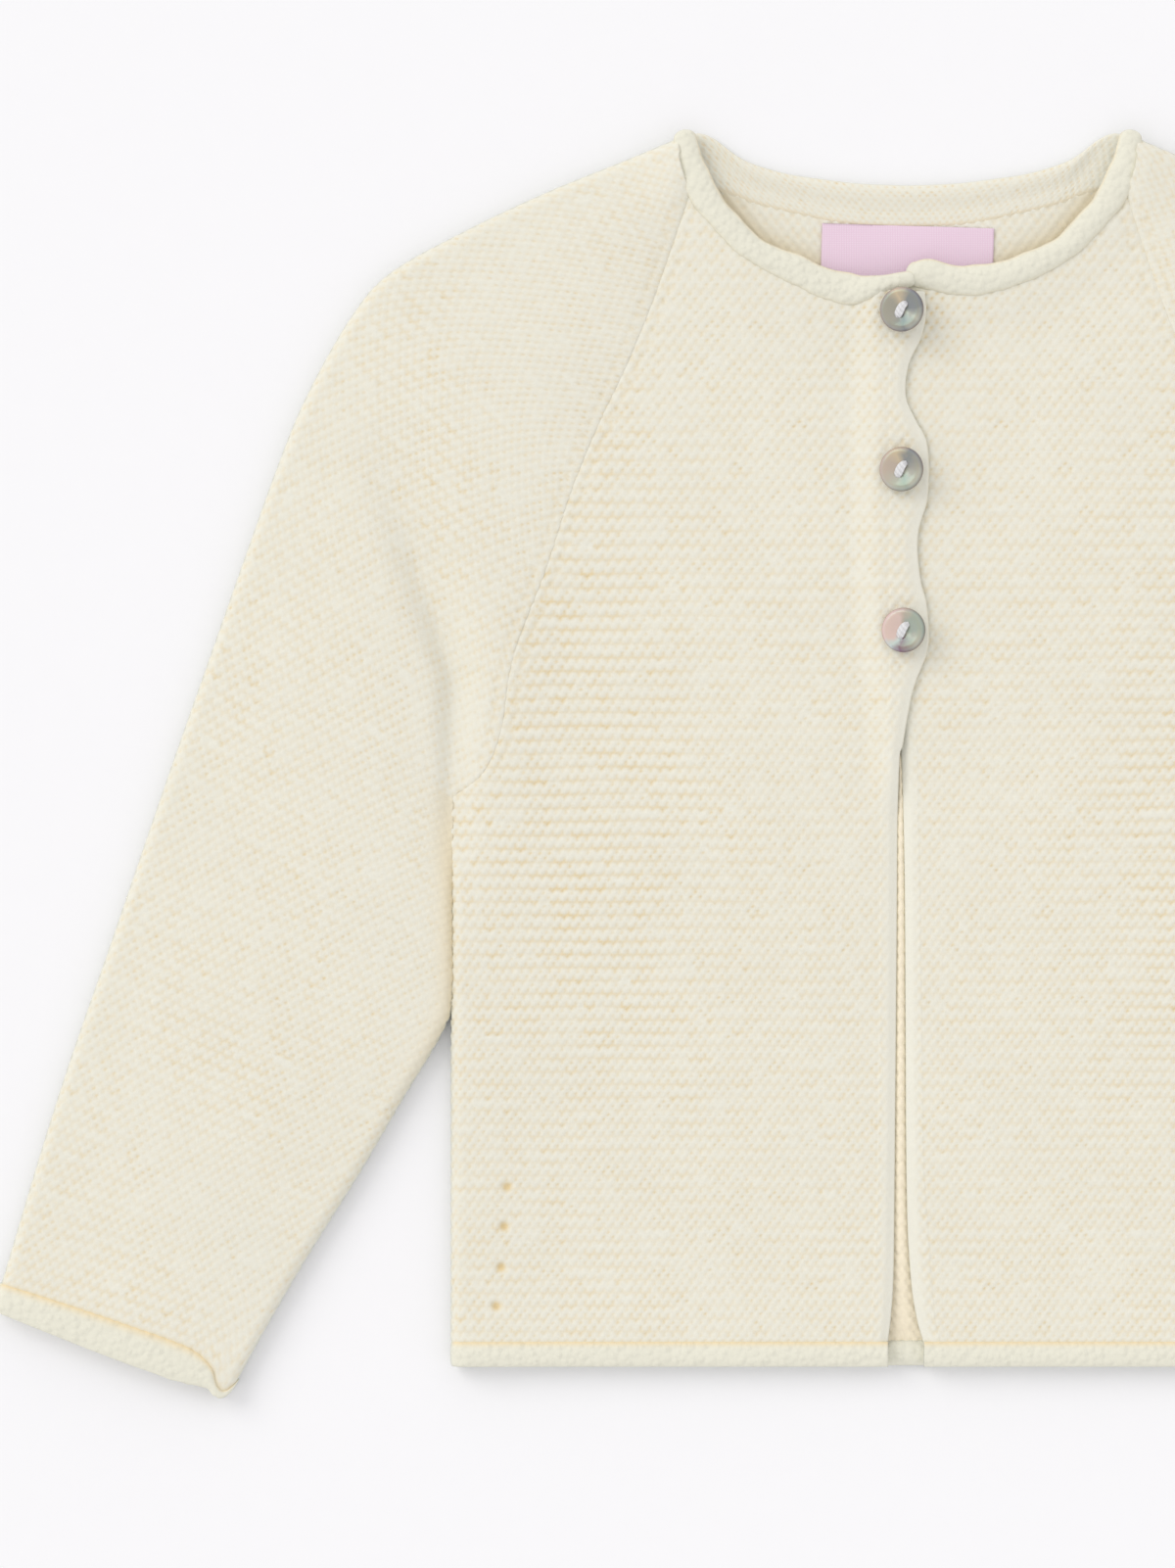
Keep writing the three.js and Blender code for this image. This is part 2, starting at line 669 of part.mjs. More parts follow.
// A roll that finishes a wall's last row: the row is carried on over a swelling of the outer face.
function rollRows({ row, out, length, bulge, innerBulge = () => 0, steps = HEM_STEPS }) {
  const wide = row.outer.length;
  const rows = [];
  for (let k = 0; k <= steps; k += 1) {
    const turn = (Math.PI * k) / steps;
    const next = { outer: [], inner: [] };
    for (let j = 0; j < wide; j += 1) {
      const reach = SEAM + (length(j) / 2) * (1 - Math.cos(turn));
      const normal = row.outer[j].clone().sub(row.inner[j]).normalize();
      const swell = -ROLL_DITCH + (ROLL_DITCH + bulge(j)) * Math.sin(turn);
      const outer = row.outer[j].clone().addScaledVector(normal, swell).addScaledVector(out, reach);
      const inner = row.inner[j].clone().addScaledVector(normal, -innerBulge(j) * Math.sin(turn));
      outer.z = Math.max(outer.z, 0);
      next.outer.push(outer);
      next.inner.push(inner.addScaledVector(out, reach));
    }
    rows.push(next);
  }
  return rows;
}

const downwards = new THREE.Vector3(0, -1, 0);

function frontHemRows(side) {
  const y = HEM_Y;
  const end = side === 'right' ? edgeAt(rightEdge, y) : -edgeAt(leftEdge, y);
  const row = upperRow({
    a: { x: -BODY_HALF, y }, b: { x: end, y }, wrap: Math.PI / 2,
    columns: FRONT_COLUMNS, height: frontHeight[side] });
  const bulge = (j) => ROLL_BULGE * (j < FOLD_COLUMNS ? 0.3 + 0.2 * j : 1);
  return rollRows({ row, out: downwards, length: () => HEM_ROLL, bulge });
}

function backHemRows() {
  const row = backRows()[0];
  const last = row.outer.length - 1;
  const fromSide = (j) => Math.min(j, last - j);
  const innerBulge = (j) => (fromSide(j) > FOLD_COLUMNS ? BACK_HEM_BULGE : 0);
  return rollRows({ row, out: downwards, length: () => HEM_ROLL, bulge: () => 0, innerBulge });
}

function cuffRows(side) {
  const row = sleeveRows(side)[0];
  const from = SLEEVE_UNDER[0];
  const across = shift(SLEEVE_FOLD_LOW[0], -from.x, -from.y);
  const size = Math.hypot(across.x, across.y);
  const out = new THREE.Vector3(-across.y / size, across.x / size, 0);
  const share = (j) => {
    const reach = shift(row.outer[j], -from.x, -from.y);
    return clamp((reach.x * across.x + reach.y * across.y) / size ** 2, 0, 1);
  };
  const length = (j) => CUFF_ROLL + CUFF_ROLL_EXTRA * Math.sin(Math.PI * Math.sqrt(1 - share(j)) ** 3);
  return rollRows({ row, out, length, bulge: () => ROLL_BULGE * 0.85 });
}

// The narrow smooth band along a front's edge, with a rounded outer side.
function edgeRings(side) {
  const rows = side === 'right' ? rightEdge : leftEdge;
  const section = [
    { across: 0, rise: 0 },
    { across: 0.35, rise: EDGE_BULGE },
    { across: 0.75, rise: EDGE_BULGE * 0.6 },
    { across: 1, rise: -0.6 },
    { across: 1, rise: -1.6 },
    { across: 0.75, rise: -WALL },
    { across: 0, rise: -WALL },
  ];
  const rings = [];
  const pieces = (SIDE_ROWS + RAGLAN_ROWS) * EDGE_STEPS;
  for (let i = 0; i <= pieces; i += 1) {
    const row = Math.min(Math.floor(i / EDGE_STEPS), SIDE_ROWS + RAGLAN_ROWS - 1);
    const t = i / EDGE_STEPS - row;
    const from = frontRowEnd(side, row);
    const to = frontRowEnd(side, row + 1);
    const y = lerp(from.y, to.y, t);
    const start = lerp(from.x, to.x, t) + SEAM;
    const edge = side === 'right' ? edgeAt(rows, y) : -edgeAt(rows, y);
    rings.push(section.map(({ across, rise }) => {
      const x = lerp(start, edge, across);
      const point = new THREE.Vector3(x, y, frontHeight[side](x, y) + rise);
      return side === 'right' ? point : mirrored(point);
    }));
  }
  return rings;
}

// The rolled neck edge: an oval rope along its line, rounded off at both ends.
function neckRings(side) {
  const line = alongLine(side === 'right' ? NECK_ROLL_RIGHT : NECK_ROLL_LEFT, 6);
  const rings = [];
  const endShares = [0.3, 0.72, 0.95];
  const stations = [
    ...endShares.map((size, k) => ({ share: 0, size, beyond: [1, 0.72, 0.35][k] })),
    ...Array.from({ length: NECK_STEPS + 1 }, (_, k) => ({ share: k / NECK_STEPS, size: 1, beyond: 0 })),
    ...[...endShares].reverse().map((size, k) => ({ share: 1, size, beyond: -[0.35, 0.72, 1][k] })),
  ];
  for (const { share, size, beyond } of stations) {
    const place = line(share);
    const before = line(Math.max(share - 0.02, 0));
    const after = line(Math.min(share + 0.02, 1));
    const length = Math.hypot(after.x - before.x, after.y - before.y);
    const along = { x: (after.x - before.x) / length, y: (after.y - before.y) / length };
    const radius = place.r * size;
    const lift = side === 'right' ? 0.55 * overlapLift(place.x + 2, 130) : 0;
    const drop = NECK_ROLL_END_DROP * smoothstep(share, 0.82, 1);
    const height = NECK_ROLL_HEIGHT + lift - drop;
    const past = beyond * place.r * NECK_ROLL_END;
    const centre = shift(place, -along.x * past, -along.y * past);
    const tall = Math.min(NECK_ROLL_HALF_HEIGHT, place.r * 0.82) * size;
    const ring = [];
    for (let j = 0; j < ROLL_SIDES; j += 1) {
      const turn = (2 * Math.PI * j) / ROLL_SIDES;
      const point = new THREE.Vector3(
        centre.x - along.y * radius * Math.cos(turn),
        centre.y + along.x * radius * Math.cos(turn),
        height + tall * Math.sin(turn));
      ring.push(side === 'right' ? point : mirrored(point));
    }
    rings.push(ring);
  }
  return rings;
}

// The back neck band: plain cloth on the surface, thickening to the rolled edge at its top.
function neckbandRings() {
  const low = alongLine(BAND_LOW, 6);
  const top = alongLine(BAND_TOP, 6);
  const steps = 15;
  const section = [
    { across: 0, z: WALL, roll: 0 },
    { across: 0.5, z: WALL, roll: 0.1 },
    { across: 0.68, z: WALL, roll: 0.75 },
    { across: 0.82, z: WALL, roll: 1 },
    { across: 0.95, z: WALL, roll: 0.6 },
    { across: 1, z: 1.5, roll: 0.2 },
    { across: 0.95, z: 0.3, roll: 0 },
    { across: 0.85, z: 0, roll: 0 },
    { across: 0.5, z: 0, roll: 0 },
    { across: 0, z: 0, roll: 0 },
  ];
  const rings = [];
  for (let i = -steps; i <= steps; i += 1) {
    const share = 1 - Math.abs(i) / steps;
    const from = low(share);
    const to = top(share);
    const rolled = BAND_ROLL_RISE * smoothstep(share, 0.12, 0.3);
    const ring = section.map(({ across, z, roll }) => {
      const x = lerp(from.x, to.x, across);
      return new THREE.Vector3(i > 0 ? -x : x, lerp(from.y, to.y, across), z + roll * rolled);
    });
    rings.push(ring);
  }
  return rings;
}

// The label: a thin strip of satin on the inside of the back, with a slight wave.
function labelRows() {
  const rows = [];
  const tilt = THREE.MathUtils.degToRad(LABEL.tilt);
  for (let i = 0; i <= 3; i += 1) {
    const row = { outer: [], inner: [] };
    for (let j = 0; j <= 8; j += 1) {
      const across = LABEL.width * (j / 8 - 0.5);
      const down = LABEL.height * (i / 3);
      const x = LABEL.x + across * Math.cos(tilt) + down * Math.sin(tilt);
      const y = LABEL.top + across * Math.sin(tilt) - down * Math.cos(tilt);
      const z = WALL + 0.3 + 0.08 * (1 + Math.sin(j * 1.3));
      row.outer.push(new THREE.Vector3(x, y, z + LABEL.thick));
      row.inner.push(new THREE.Vector3(x, y, z));
    }
    rows.push(row);
  }
  return rows;
}

function toManifold(geometry) {
  const plain = geometry.clone();
  plain.deleteAttribute('normal');
  plain.deleteAttribute('uv');
  const merged = mergeVertices(plain, 1e-4);
  return new manifold.Manifold(new manifold.Mesh({
    numProp: 3,
    vertProperties: new Float32Array(merged.attributes.position.array),
    triVerts: new Uint32Array(merged.index.array),
  }));
}

function fromManifold(solid) {
  const mesh = solid.getMesh();
  const geometry = new THREE.BufferGeometry();
  geometry.setAttribute('position', new THREE.BufferAttribute(mesh.vertProperties, 3));
  geometry.setIndex(new THREE.BufferAttribute(mesh.triVerts, 1));
  geometry.computeVertexNormals();
  return geometry;
}

// A shell button: a turned disc with a rounded rim and a shallow dish, and two thread holes.
function buttonGeometry() {
  const profile = [
    [0, 0],
    [BUTTON_RADIUS - 1.4, 0],
    [BUTTON_RADIUS - 0.3, 0.6],
    [BUTTON_RADIUS, 1.2],
    [BUTTON_RADIUS - 0.25, BUTTON_RIM],
    [BUTTON_RADIUS - 1.1, BUTTON_RIM + BUTTON_DOME],
    [BUTTON_RADIUS - 2.4, BUTTON_RIM + BUTTON_DOME * 0.7],
    [2.2, BUTTON_RIM - 0.2],
    [0, BUTTON_RIM - 0.3],
  ].map(([x, y]) => new THREE.Vector2(x, y));
  const disc = new THREE.LatheGeometry(profile, 20).rotateX(Math.PI / 2);
  let solid = toManifold(disc);
  for (const place of [-0.5, 0.5]) {
    const hole = new THREE.CylinderGeometry(BUTTON_HOLE_RADIUS, BUTTON_HOLE_RADIUS, 12, 8);
    hole.rotateX(Math.PI / 2).translate(
      place * BUTTON_HOLE_SPACING * Math.cos(BUTTON_HOLE_ANGLE),
      place * BUTTON_HOLE_SPACING * Math.sin(BUTTON_HOLE_ANGLE), 0);
    solid = solid.subtract(toManifold(hole));
  }
  return fromManifold(solid);
}

// The highest point of the right front under a button.
function clothUnder({ x, y }) {
  let top = 0;
  for (let k = 0; k < 16; k += 1) {
    const turn = (2 * Math.PI * k) / 16;
    const rimX = x + BUTTON_RADIUS * Math.cos(turn);
    const rimY = Math.min(y + BUTTON_RADIUS * Math.sin(turn), FRONT_TOP);
    top = Math.max(top, frontHeight.right(rimX, rimY) + EDGE_BULGE);
  }
  return top;
}

const knit = { color: 0xeae6d3, roughness: 0.95, metalness: 0 };
const rolledKnit = { color: 0xe6e1cf, roughness: 0.95, metalness: 0 };
const satin = { color: 0xebd2e0, roughness: 0.45, metalness: 0 };
const shell = { color: 0x8f8a86, roughness: 0.22, metalness: 0 };

const cardigan = new THREE.Group();

function add(name, geometry, finish, place) {
  const mesh = new THREE.Mesh(geometry, new THREE.MeshStandardMaterial(finish));
  mesh.name = name;
  if (place) mesh.position.copy(place);
  cardigan.add(mesh);
}

add('back', wallGeometry(backRows()), knit);
add('hem_roll_back', wallGeometry(backHemRows()), rolledKnit);
add('neckband_back', ringGeometry(neckbandRings()), rolledKnit);
for (const side of ['right', 'left']) {
  add(`front_${side}`, placeWall(frontRows(side), side), knit);
  add(`front_edge_${side}`, ringGeometry(edgeRings(side)), rolledKnit);
  add(`sleeve_${side}`, placeWall(sleeveRows(side), side), knit);
  add(`neck_roll_${side}`, ringGeometry(neckRings(side)), rolledKnit);
  add(`hem_roll_front_${side}`, placeWall(frontHemRows(side), side), rolledKnit);
  add(`cuff_roll_${side}`, placeWall(cuffRows(side), side), rolledKnit);
}
for (const button of BUTTON_PLACES) {
  const height = clothUnder(button) + 0.3;
  add(button.name, buttonGeometry(), shell, new THREE.Vector3(button.x, button.y, height));
}
add('label', wallGeometry(labelRows()), satin);

// The origin is on the surface, under the middle of the whole garment.
const box = new THREE.Box3().setFromObject(cardigan);
const middle = box.getCenter(new THREE.Vector3());
cardigan.position.set(-middle.x, -middle.y, -box.min.z);

export default cardigan;
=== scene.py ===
# %% [markdown]
# A hand-knitted baby cardigan, laid flat and buttoned
#
# The cardigan is knitted in cream garter stitch: every row makes bumps, and two rows together make one
# ridge. Its edges are plain knitting that curls into soft rolls. It lies on its back on a pale surface.
#
# The lesson builds each knitted piece as a thin closed wall of mesh. The stitches are real relief, set out
# on a grid that has the same number of points in every stitch, because stitches cast small shadows that
# a painted texture can't give. Finer things, such as fibres and the twist of the yarn, are bump.
#
# The frame is the finished CAD model. Every piece here goes where its CAD node is. The buttons lean a
# little in that place, where the CAD model has them flat.

# %% Load the frame
import math

import bmesh
import bpy
import numpy as np
from mathutils import Matrix, Vector
from mathutils.geometry import delaunay_2d_cdt


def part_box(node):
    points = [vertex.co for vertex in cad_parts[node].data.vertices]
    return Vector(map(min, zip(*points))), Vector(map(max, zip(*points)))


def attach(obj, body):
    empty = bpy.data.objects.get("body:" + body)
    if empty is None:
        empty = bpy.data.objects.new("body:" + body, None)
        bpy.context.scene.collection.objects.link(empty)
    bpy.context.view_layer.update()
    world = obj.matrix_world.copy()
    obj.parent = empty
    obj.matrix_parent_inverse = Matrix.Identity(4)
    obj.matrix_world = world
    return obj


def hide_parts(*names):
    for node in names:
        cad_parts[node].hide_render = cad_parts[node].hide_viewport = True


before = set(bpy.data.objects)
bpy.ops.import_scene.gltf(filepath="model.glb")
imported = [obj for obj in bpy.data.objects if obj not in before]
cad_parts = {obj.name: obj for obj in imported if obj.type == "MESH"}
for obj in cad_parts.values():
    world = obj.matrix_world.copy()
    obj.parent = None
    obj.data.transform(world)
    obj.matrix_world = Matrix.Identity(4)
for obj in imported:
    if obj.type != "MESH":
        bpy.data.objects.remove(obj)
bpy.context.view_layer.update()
chance = np.random.default_rng(7)
print("CAD nodes:", len(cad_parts))

# %% [markdown]
# The sizes of the garment
#
# A maker would start from a measured drawing. These sizes are in millimetres, on the drawing's own
# origin, and x is negative on the viewer's left. Most of it is drawn on the left only, because the other
# half is its mirror: just the neck roll and the front edges have a line for each side. One number, taken
# from the frame, moves the drawing to where the CAD model lies.

# %% Body, cloth and seams
MM = 0.001
# Thickness of the cloth, and height of the seams over the surface.
WALL = 2.2
SEAM_HEIGHT = 3.0
BODY_HALF = 129.4
HEM_Y = -164.9
UNDERARM_Y = -10
FRONT_TOP = 132.9
# Below this height the sides curl all the way down to their seams.
WRAP_FULL_Y = -45
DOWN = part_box("back")[0][1] / MM - HEM_Y
print(f"the drawing moves {DOWN:.2f} mm along y")

# %% [markdown]
# Where the upper cloth lies
#
# The upper cloth isn't flat. It rises to the rolled neck, swells over the armhole and sinks in a soft
# trough where the sleeve bends. A displaced picture could do this too, but heights from a formula can be
# asked for at any place, so that every piece that meets the cloth finds the same surface. Each rise is
# bell-shaped and has a size of its own, because the folds of thick wool are soft and uneven.

# %% Heights over the surface
REST_HEIGHT = 5.3
SIDE_RISE, SIDE_FROM, SIDE_TO = 1.1, 95, 124
HEM_LIFT, HEM_LIFT_REACH = 0.9, 14
NECK_LIFT, NECK_LIFT_REACH = 1.6, 8
SLEEVE_EDGE_HEIGHT, SLEEVE_CROWN = 6.4, 1.3
OVERLAP_LIFT, LIFT_LEAD, LIFT_MARGIN = 2.6, 9.5, 1.5
LIFT_BOTTOM, LIFT_FULL = -18, -2

# Middle of the swelling over the armhole, its height and its reach across and along.
PUFF_X, PUFF_Y, PUFF_RISE, PUFF_ACROSS, PUFF_ALONG = -142, 55, 1.5, 30, 45

# Troughs as rows of x, y, depth and half width: a deep one down the armhole to the underarm, and a
# shallow one over the chest.
TROUGHS = [
    [(-150, 98, 0.2, 13), (-145, 76, 2.2, 12), (-138.5, 56, 4.0, 10), (-132.8, 38.5, 4.6, 8),
     (-129, 24.6, 4.1, 6), (-129.4, -10, 1.9, 5), (-129.4, -34, 0, 5)],
    [(-107, 66, 0, 13), (-98, 42, 0.6, 14), (-88, 12, 0.4, 15), (-84, -6, 0, 15)],
]
# How steep a trough's left and right banks are.
LEFT_BANK, RIGHT_BANK = 1.6, 0.85
print("deepest trough:", max(row[2] for trough in TROUGHS for row in trough), "mm")

# %% Edges of the panels
# Each line is a row of points, x and y. The raglan line runs from the underarm to the neck.
RAGLAN = [(-129.4, -10), (-120.5, -3), (-115.3, 9), (-111.9, 29.6), (-102.5, 54.9), (-95, 77.9),
          (-87.5, 96), (-79.5, 113), (-71.1, 133.8), (-61.7, 161.4)]
RAGLAN_BACK_TOP = (-57.8, 163.3)
SLEEVE_FOLD_LOW = [(-257.3, -148.3), (-241.1, -94.9), (-225.8, -50.4), (-210.6, -6), (-195, 38.5)]
SLEEVE_FOLD_TOP = [(-195, 38.5), (-179.2, 82.9), (-170, 105), (-157.5, 127), (-146.4, 139.2),
                   (-124.2, 151.5), (-101.9, 162), (-79.7, 171), (-65.4, 176.9)]
SLEEVE_UNDER = [(-188.6, -169.6), (-170, -139.3), (-156.1, -117.1), (-143.1, -94.9), (-132.2, -76.5),
                (-129.1, -66), (-128.9, -40), (-128.9, -10)]

print("raglan line and sleeve are drawn with", len(RAGLAN), "and", len(SLEEVE_FOLD_TOP), "points")

# %% Neck and front edges
# Rolled neck edge as rows of x, y and half width, from the buttons to the shoulder.
NECK_SHOULDER = [(-38.3, 142.4, 3.8), (-45, 146.3, 3.7), (-50, 151.3, 3.8), (-56.9, 159.3, 4.1),
                 (-61.9, 169.9, 4.2), (-63.1, 176.8, 3.3)]
NECK_ROLL = {
    "right": [(0.2, 136.8, 2.2), (-8.2, 135.1, 2.9), (-15.3, 134, 4.3), (-24.2, 136, 4.4),
              (-31.2, 139.4, 4.2), *NECK_SHOULDER],
    "left": [(-2.2, 138.2, 3.6), (-6.4, 138.2, 4.4), (-11.9, 136.8, 4.3), (-17.5, 136.5, 4.3),
             (-23.1, 137.2, 4.2), (-28.6, 138.5, 4.1), *NECK_SHOULDER],
}
# Lower and upper edge of the band at the back of the neck, from the shoulder to the middle.
BAND_LOW = [(-57.2, 163.6), (-49.2, 161.5), (-42.2, 158.8), (-24.2, 154.6), (-13, 152.9), (0, 152.4)]
BAND_TOP = [(-65.4, 177.0), (-59.7, 178.8), (-54.7, 177.2), (-46.4, 171.3), (-35.3, 167.6),
            (-24.2, 165.8), (-13, 164.5), (0, 164)]

# Outer edge of each front, as rows of x and y from the hem up. The right one swells round its buttons.
FRONT_EDGE = {
    "right": [(-6.1, -175), (-5.6, -164.9), (-4.7, -157.4), (-3.9, -144.9), (-3.6, -117), (-3.1, -60),
              (-2.6, -4), (-1.4, 4.9), (-0.1, 12.6), (1.8, 21.5), (5.5, 31.3), (5.9, 38), (5.3, 45.6),
              (3.8, 51), (2.8, 59.9), (3.3, 66.7), (5.5, 74), (6.0, 83), (5.3, 91.2), (2.2, 97.1),
              (-0.6, 104), (0.3, 112.9), (3.8, 120.7), (5.2, 127.5), (4.6, 135)],
    "left": [(6.7, -175), (4.6, -164.9), (2.5, -157.4), (0.8, -144.9), (-0.3, -117), (-0.8, -34),
             (-1.9, 2.4), (-3.5, 25), (-6, 50), (-6, 135)],
}
# Where the garter stitch ends and each front's narrow band starts.
BAND_START = {
    "right": [(-9.2, -175), (-6.8, -117), (-5.8, -4), (-3.6, 25), (-3.6, 135)],
    "left": [(9.8, -175), (5.8, -157), (2.9, -117), (1.2, 2.4), (-2.8, 50), (-2.8, 135)],
}
print(len(FRONT_EDGE["right"]), "points along the right front's edge")

# %% [markdown]
# Soft lines and soft steps
#
# A few points can give a smooth edge if a curve runs through them. A Catmull-Rom curve does that and
# passes through each point, so the drawing keeps its measured places. The other helpers give the
# distance to such a line, and the smooth step and bell that shape the cloth's heights.

# %% Curves through the tables
def smooth_rows(table, steps=10):
    """A Catmull-Rom curve through the rows of a table, with so many steps between two rows."""
    table = np.asarray(table, float)
    last = len(table) - 1
    t = (np.arange(steps) / steps)[:, None]
    rows = []
    for i in range(last):
        before, here = table[max(i - 1, 0)], table[i]
        there, after = table[i + 1], table[min(i + 2, last)]
        leave = (t**3 - 2 * t**2 + t) * 0.5 * (there - before)
        arrive = (t**3 - t**2) * 0.5 * (after - here)
        rows.append(here + (there - here) * t * t * (3 - 2 * t) + leave + arrive)
    return np.vstack([*rows, table[last:]])


def along(table, steps=10):
    """A function that gives the place at a share 0 to 1 of a line's length."""
    rows = smooth_rows(table, steps)
    pieces = np.linalg.norm(np.diff(rows[:, :2], axis=0), axis=1)
    reach = np.concatenate([[0], np.cumsum(pieces)]) / pieces.sum()
    return lambda share: np.stack([np.interp(share, reach, column) for column in rows.T], -1)


print("halfway along the raglan line:", along(RAGLAN)(0.5).round(1))


# %% Soft steps, bells and distances
def smooth_step(value, low, high):
    """Rises softly from 0 at low to 1 at high."""
    t = np.clip((value - low) / (high - low), 0, 1)
    return t * t * (3 - 2 * t)


def bell(distance, width):
    """1 in the middle, and soft down to 0 on both sides."""
    return np.exp(-((distance / width) ** 2))


def nearest(rows, x, y):
    """The distance from points to a line, and the line's other columns at the nearest place."""
    best = np.full(np.shape(x), np.inf)
    extra = np.zeros((*np.shape(x), rows.shape[1] - 2))
    for a, b in zip(rows, rows[1:]):
        run = b[:2] - a[:2]
        t = np.clip(((x - a[0]) * run[0] + (y - a[1]) * run[1]) / (run @ run), 0, 1)
        distance = np.hypot(x - a[0] - t * run[0], y - a[1] - t * run[1])
        closer = distance < best
        best = np.where(closer, distance, best)
        extra = np.where(closer[..., None], a[2:] + t[..., None] * (b[2:] - a[2:]), extra)
    return best, extra


def mix(a, b, t):
    """a at t = 0, b at t = 1, and what lies between them."""
    return a + (b - a) * t


print("a third of the way up a soft step:", round(float(smooth_step(1 / 3, 0, 1)), 3))


# %% Heights of the upper cloth
neck_line = {side: smooth_rows(NECK_ROLL[side], 3) for side in NECK_ROLL}
edge_line = {side: smooth_rows(FRONT_EDGE[side], 4) for side in FRONT_EDGE}
trough_lines = [np.array(trough, float) for trough in TROUGHS]


def common_rise(side, x, y):
    """What the fronts and the sleeves rise by: to the neck roll and over the armhole, less the troughs."""
    distance, half = nearest(neck_line[side], x, y)
    rise = NECK_LIFT * bell(np.maximum(distance - half[..., 0], 0), NECK_LIFT_REACH)
    rise = rise + PUFF_RISE * bell(x - PUFF_X, PUFF_ACROSS) * bell(y - PUFF_Y, PUFF_ALONG)
    for line in trough_lines:
        distance, shape = nearest(line, x, y)
        steep = np.where(x < np.interp(y, line[::-1, 1], line[::-1, 0]), LEFT_BANK, RIGHT_BANK)
        rise = rise - shape[..., 0] * bell(distance * steep, shape[..., 1])
    return rise


def body_height(x, y):
    """Height of the body's upper cloth, which rises to its sides and to its hem."""
    side = smooth_step(-x, SIDE_FROM, SIDE_TO)
    return REST_HEIGHT + SIDE_RISE * side + HEM_LIFT * bell(y - HEM_Y, HEM_LIFT_REACH) * (1 - 0.6 * side)


def overlap_lift(x, y):
    """How far the left front lifts the edge of the right front, which lies on it."""
    under = np.interp(y, edge_line["left"][:, 1], edge_line["left"][:, 0])
    across = smooth_step(x, under - LIFT_MARGIN - LIFT_LEAD, under - LIFT_MARGIN)
    return OVERLAP_LIFT * across * smooth_step(y, LIFT_BOTTOM, LIFT_FULL)


def front_height(side, x, y):
    lift = overlap_lift(x, y) if side == "right" else 0
    return body_height(x, y) + common_rise(side, x, y) + lift


print("height at the chest:", round(float(front_height("right", np.float64(-60), np.float64(0))), 2), "mm")


# %% Cloth that curls down to a seam
def wrap_at(y):
    """How far an edge is rolled down to its side seam: not at all above the underarm."""
    return math.pi / 2 * smooth_step(-y, -UNDERARM_Y, -WRAP_FULL_Y)


def fold(length, radius, wrap, off):
    """The way inwards and the drop at a length along cloth from a rolled edge, off its outer face."""
    start = radius * np.sin(wrap)
    angle = math.pi / 2 - wrap + length / radius
    flat = length >= radius * wrap
    inward = np.where(flat, start + length - radius * wrap, start - (radius + off) * np.cos(angle))
    return inward, np.where(flat, off, (radius + off) * np.sin(angle) - radius)


print("the sides curl by", round(math.degrees(float(wrap_at(-20)))), "degrees just below the underarm")

# %% [markdown]
# Garter stitch
#
# In garter stitch the loops of one row stand up as a line of small bumps, and those of the next row lie
# half a stitch further on. The two lines make a ridge, and the cloth sinks between ridges. A height
# function of stitches p and ridges q gives all of it. The gauge comes from the real thing, and it isn't
# even: weight and wear pull the knitting wider and taller at the chest than at the hem. Hand tension
# varies too, so each loop gets its own small change.

# %% The height of a garter stitch
# Mean width of a stitch and height of a ridge, depth of the relief, and how far a loop stands over the
# cloth's plain face.
STITCH, RIDGE = 2.74, 3.8
RELIEF, CREST = 0.85, 0.4
# Heights of the two rows in a ridge, and half widths of its valley and of the gaps between loops, all as
# shares of the ridge.
LOWER_ROW, UPPER_ROW = 0.3, 0.7
VALLEY_HALF, GAP_HALF = 0.14, 0.19
tension = chance.normal(0, 1, (64, 64))


def loops(p, q, pulled, opened=0):
    """How high the yarn stands, up to 1 on a loop, and its painted shade, where knitting is pulled or
    opened.
    """
    swing = np.cos(math.tau * p)
    own = tension[np.round(p).astype(int) % 64, np.round(2 * q).astype(int) % 64]
    bent = q + 0.06 * swing + 0.015 * own
    valley = bell(bent - np.round(bent), VALLEY_HALF) * pulled
    part = q - np.floor(q)
    gap = bell(part - LOWER_ROW, GAP_HALF) * (0.5 - 0.5 * swing)
    gap = gap + bell(part - UPPER_ROW, GAP_HALF) * (0.5 + 0.5 * swing)
    # Painted shade in the valley between ridges and in the gaps between loops, more where stitches open.
    shade = valley * (0.62 + 0.2 * own) + (0.46 + 0.16 * own + 0.5 * opened) * gap**2
    return 1 - 0.6 * valley - (0.45 + 0.08 * own + 0.3 * opened) * gap, np.clip(shade, 0, 1)


print(f"a stitch is {STITCH} mm wide and a ridge {RIDGE} mm high")


# %% Unevenness and gauge
def wander(x, y):
    """A slow unevenness of the hand, between -1 and 1."""
    return (np.sin(x / 23 + 1.3 * np.sin(y / 31)) + np.sin(y / 19 + x / 47 + 0.7)
            + np.sin((x + y) / 13 + 2.1)) / 3


def pulled_at(x, y):
    """How far the ridges are pulled apart: most beside the underarm, least at the shoulder."""
    side = bell(np.abs(x) - 96, 34) * bell(y + 5, 85)
    return np.clip(0.48 + 0.5 * side - 0.2 * smooth_step(y, 80, 140) + 0.12 * wander(1.3 * x, y), 0.2, 1)


# Ridges at heights y of the drawing, and the width of a stitch there.
GAUGE_Y = [-170, -70, 0, 50, 165]
GAUGE_RIDGE = [3.67, 3.69, 3.84, 4.02, 4.04]
GAUGE_STITCH = [2.62, 2.62, 2.78, 3.02, 3.1]
gauge_line = np.arange(HEM_Y, 166, 0.5)
gauge_count = np.cumsum(0.5 / np.interp(gauge_line, GAUGE_Y, GAUGE_RIDGE)) - 0.5 / GAUGE_RIDGE[0]


def ridges_up(y):
    """The number of ridges from the hem up to a height."""
    return np.interp(y, gauge_line, gauge_count)


def ridge_y(q):
    return np.interp(q, gauge_count, gauge_line)


def stitch_at(y):
    return np.interp(y, GAUGE_Y, GAUGE_STITCH)


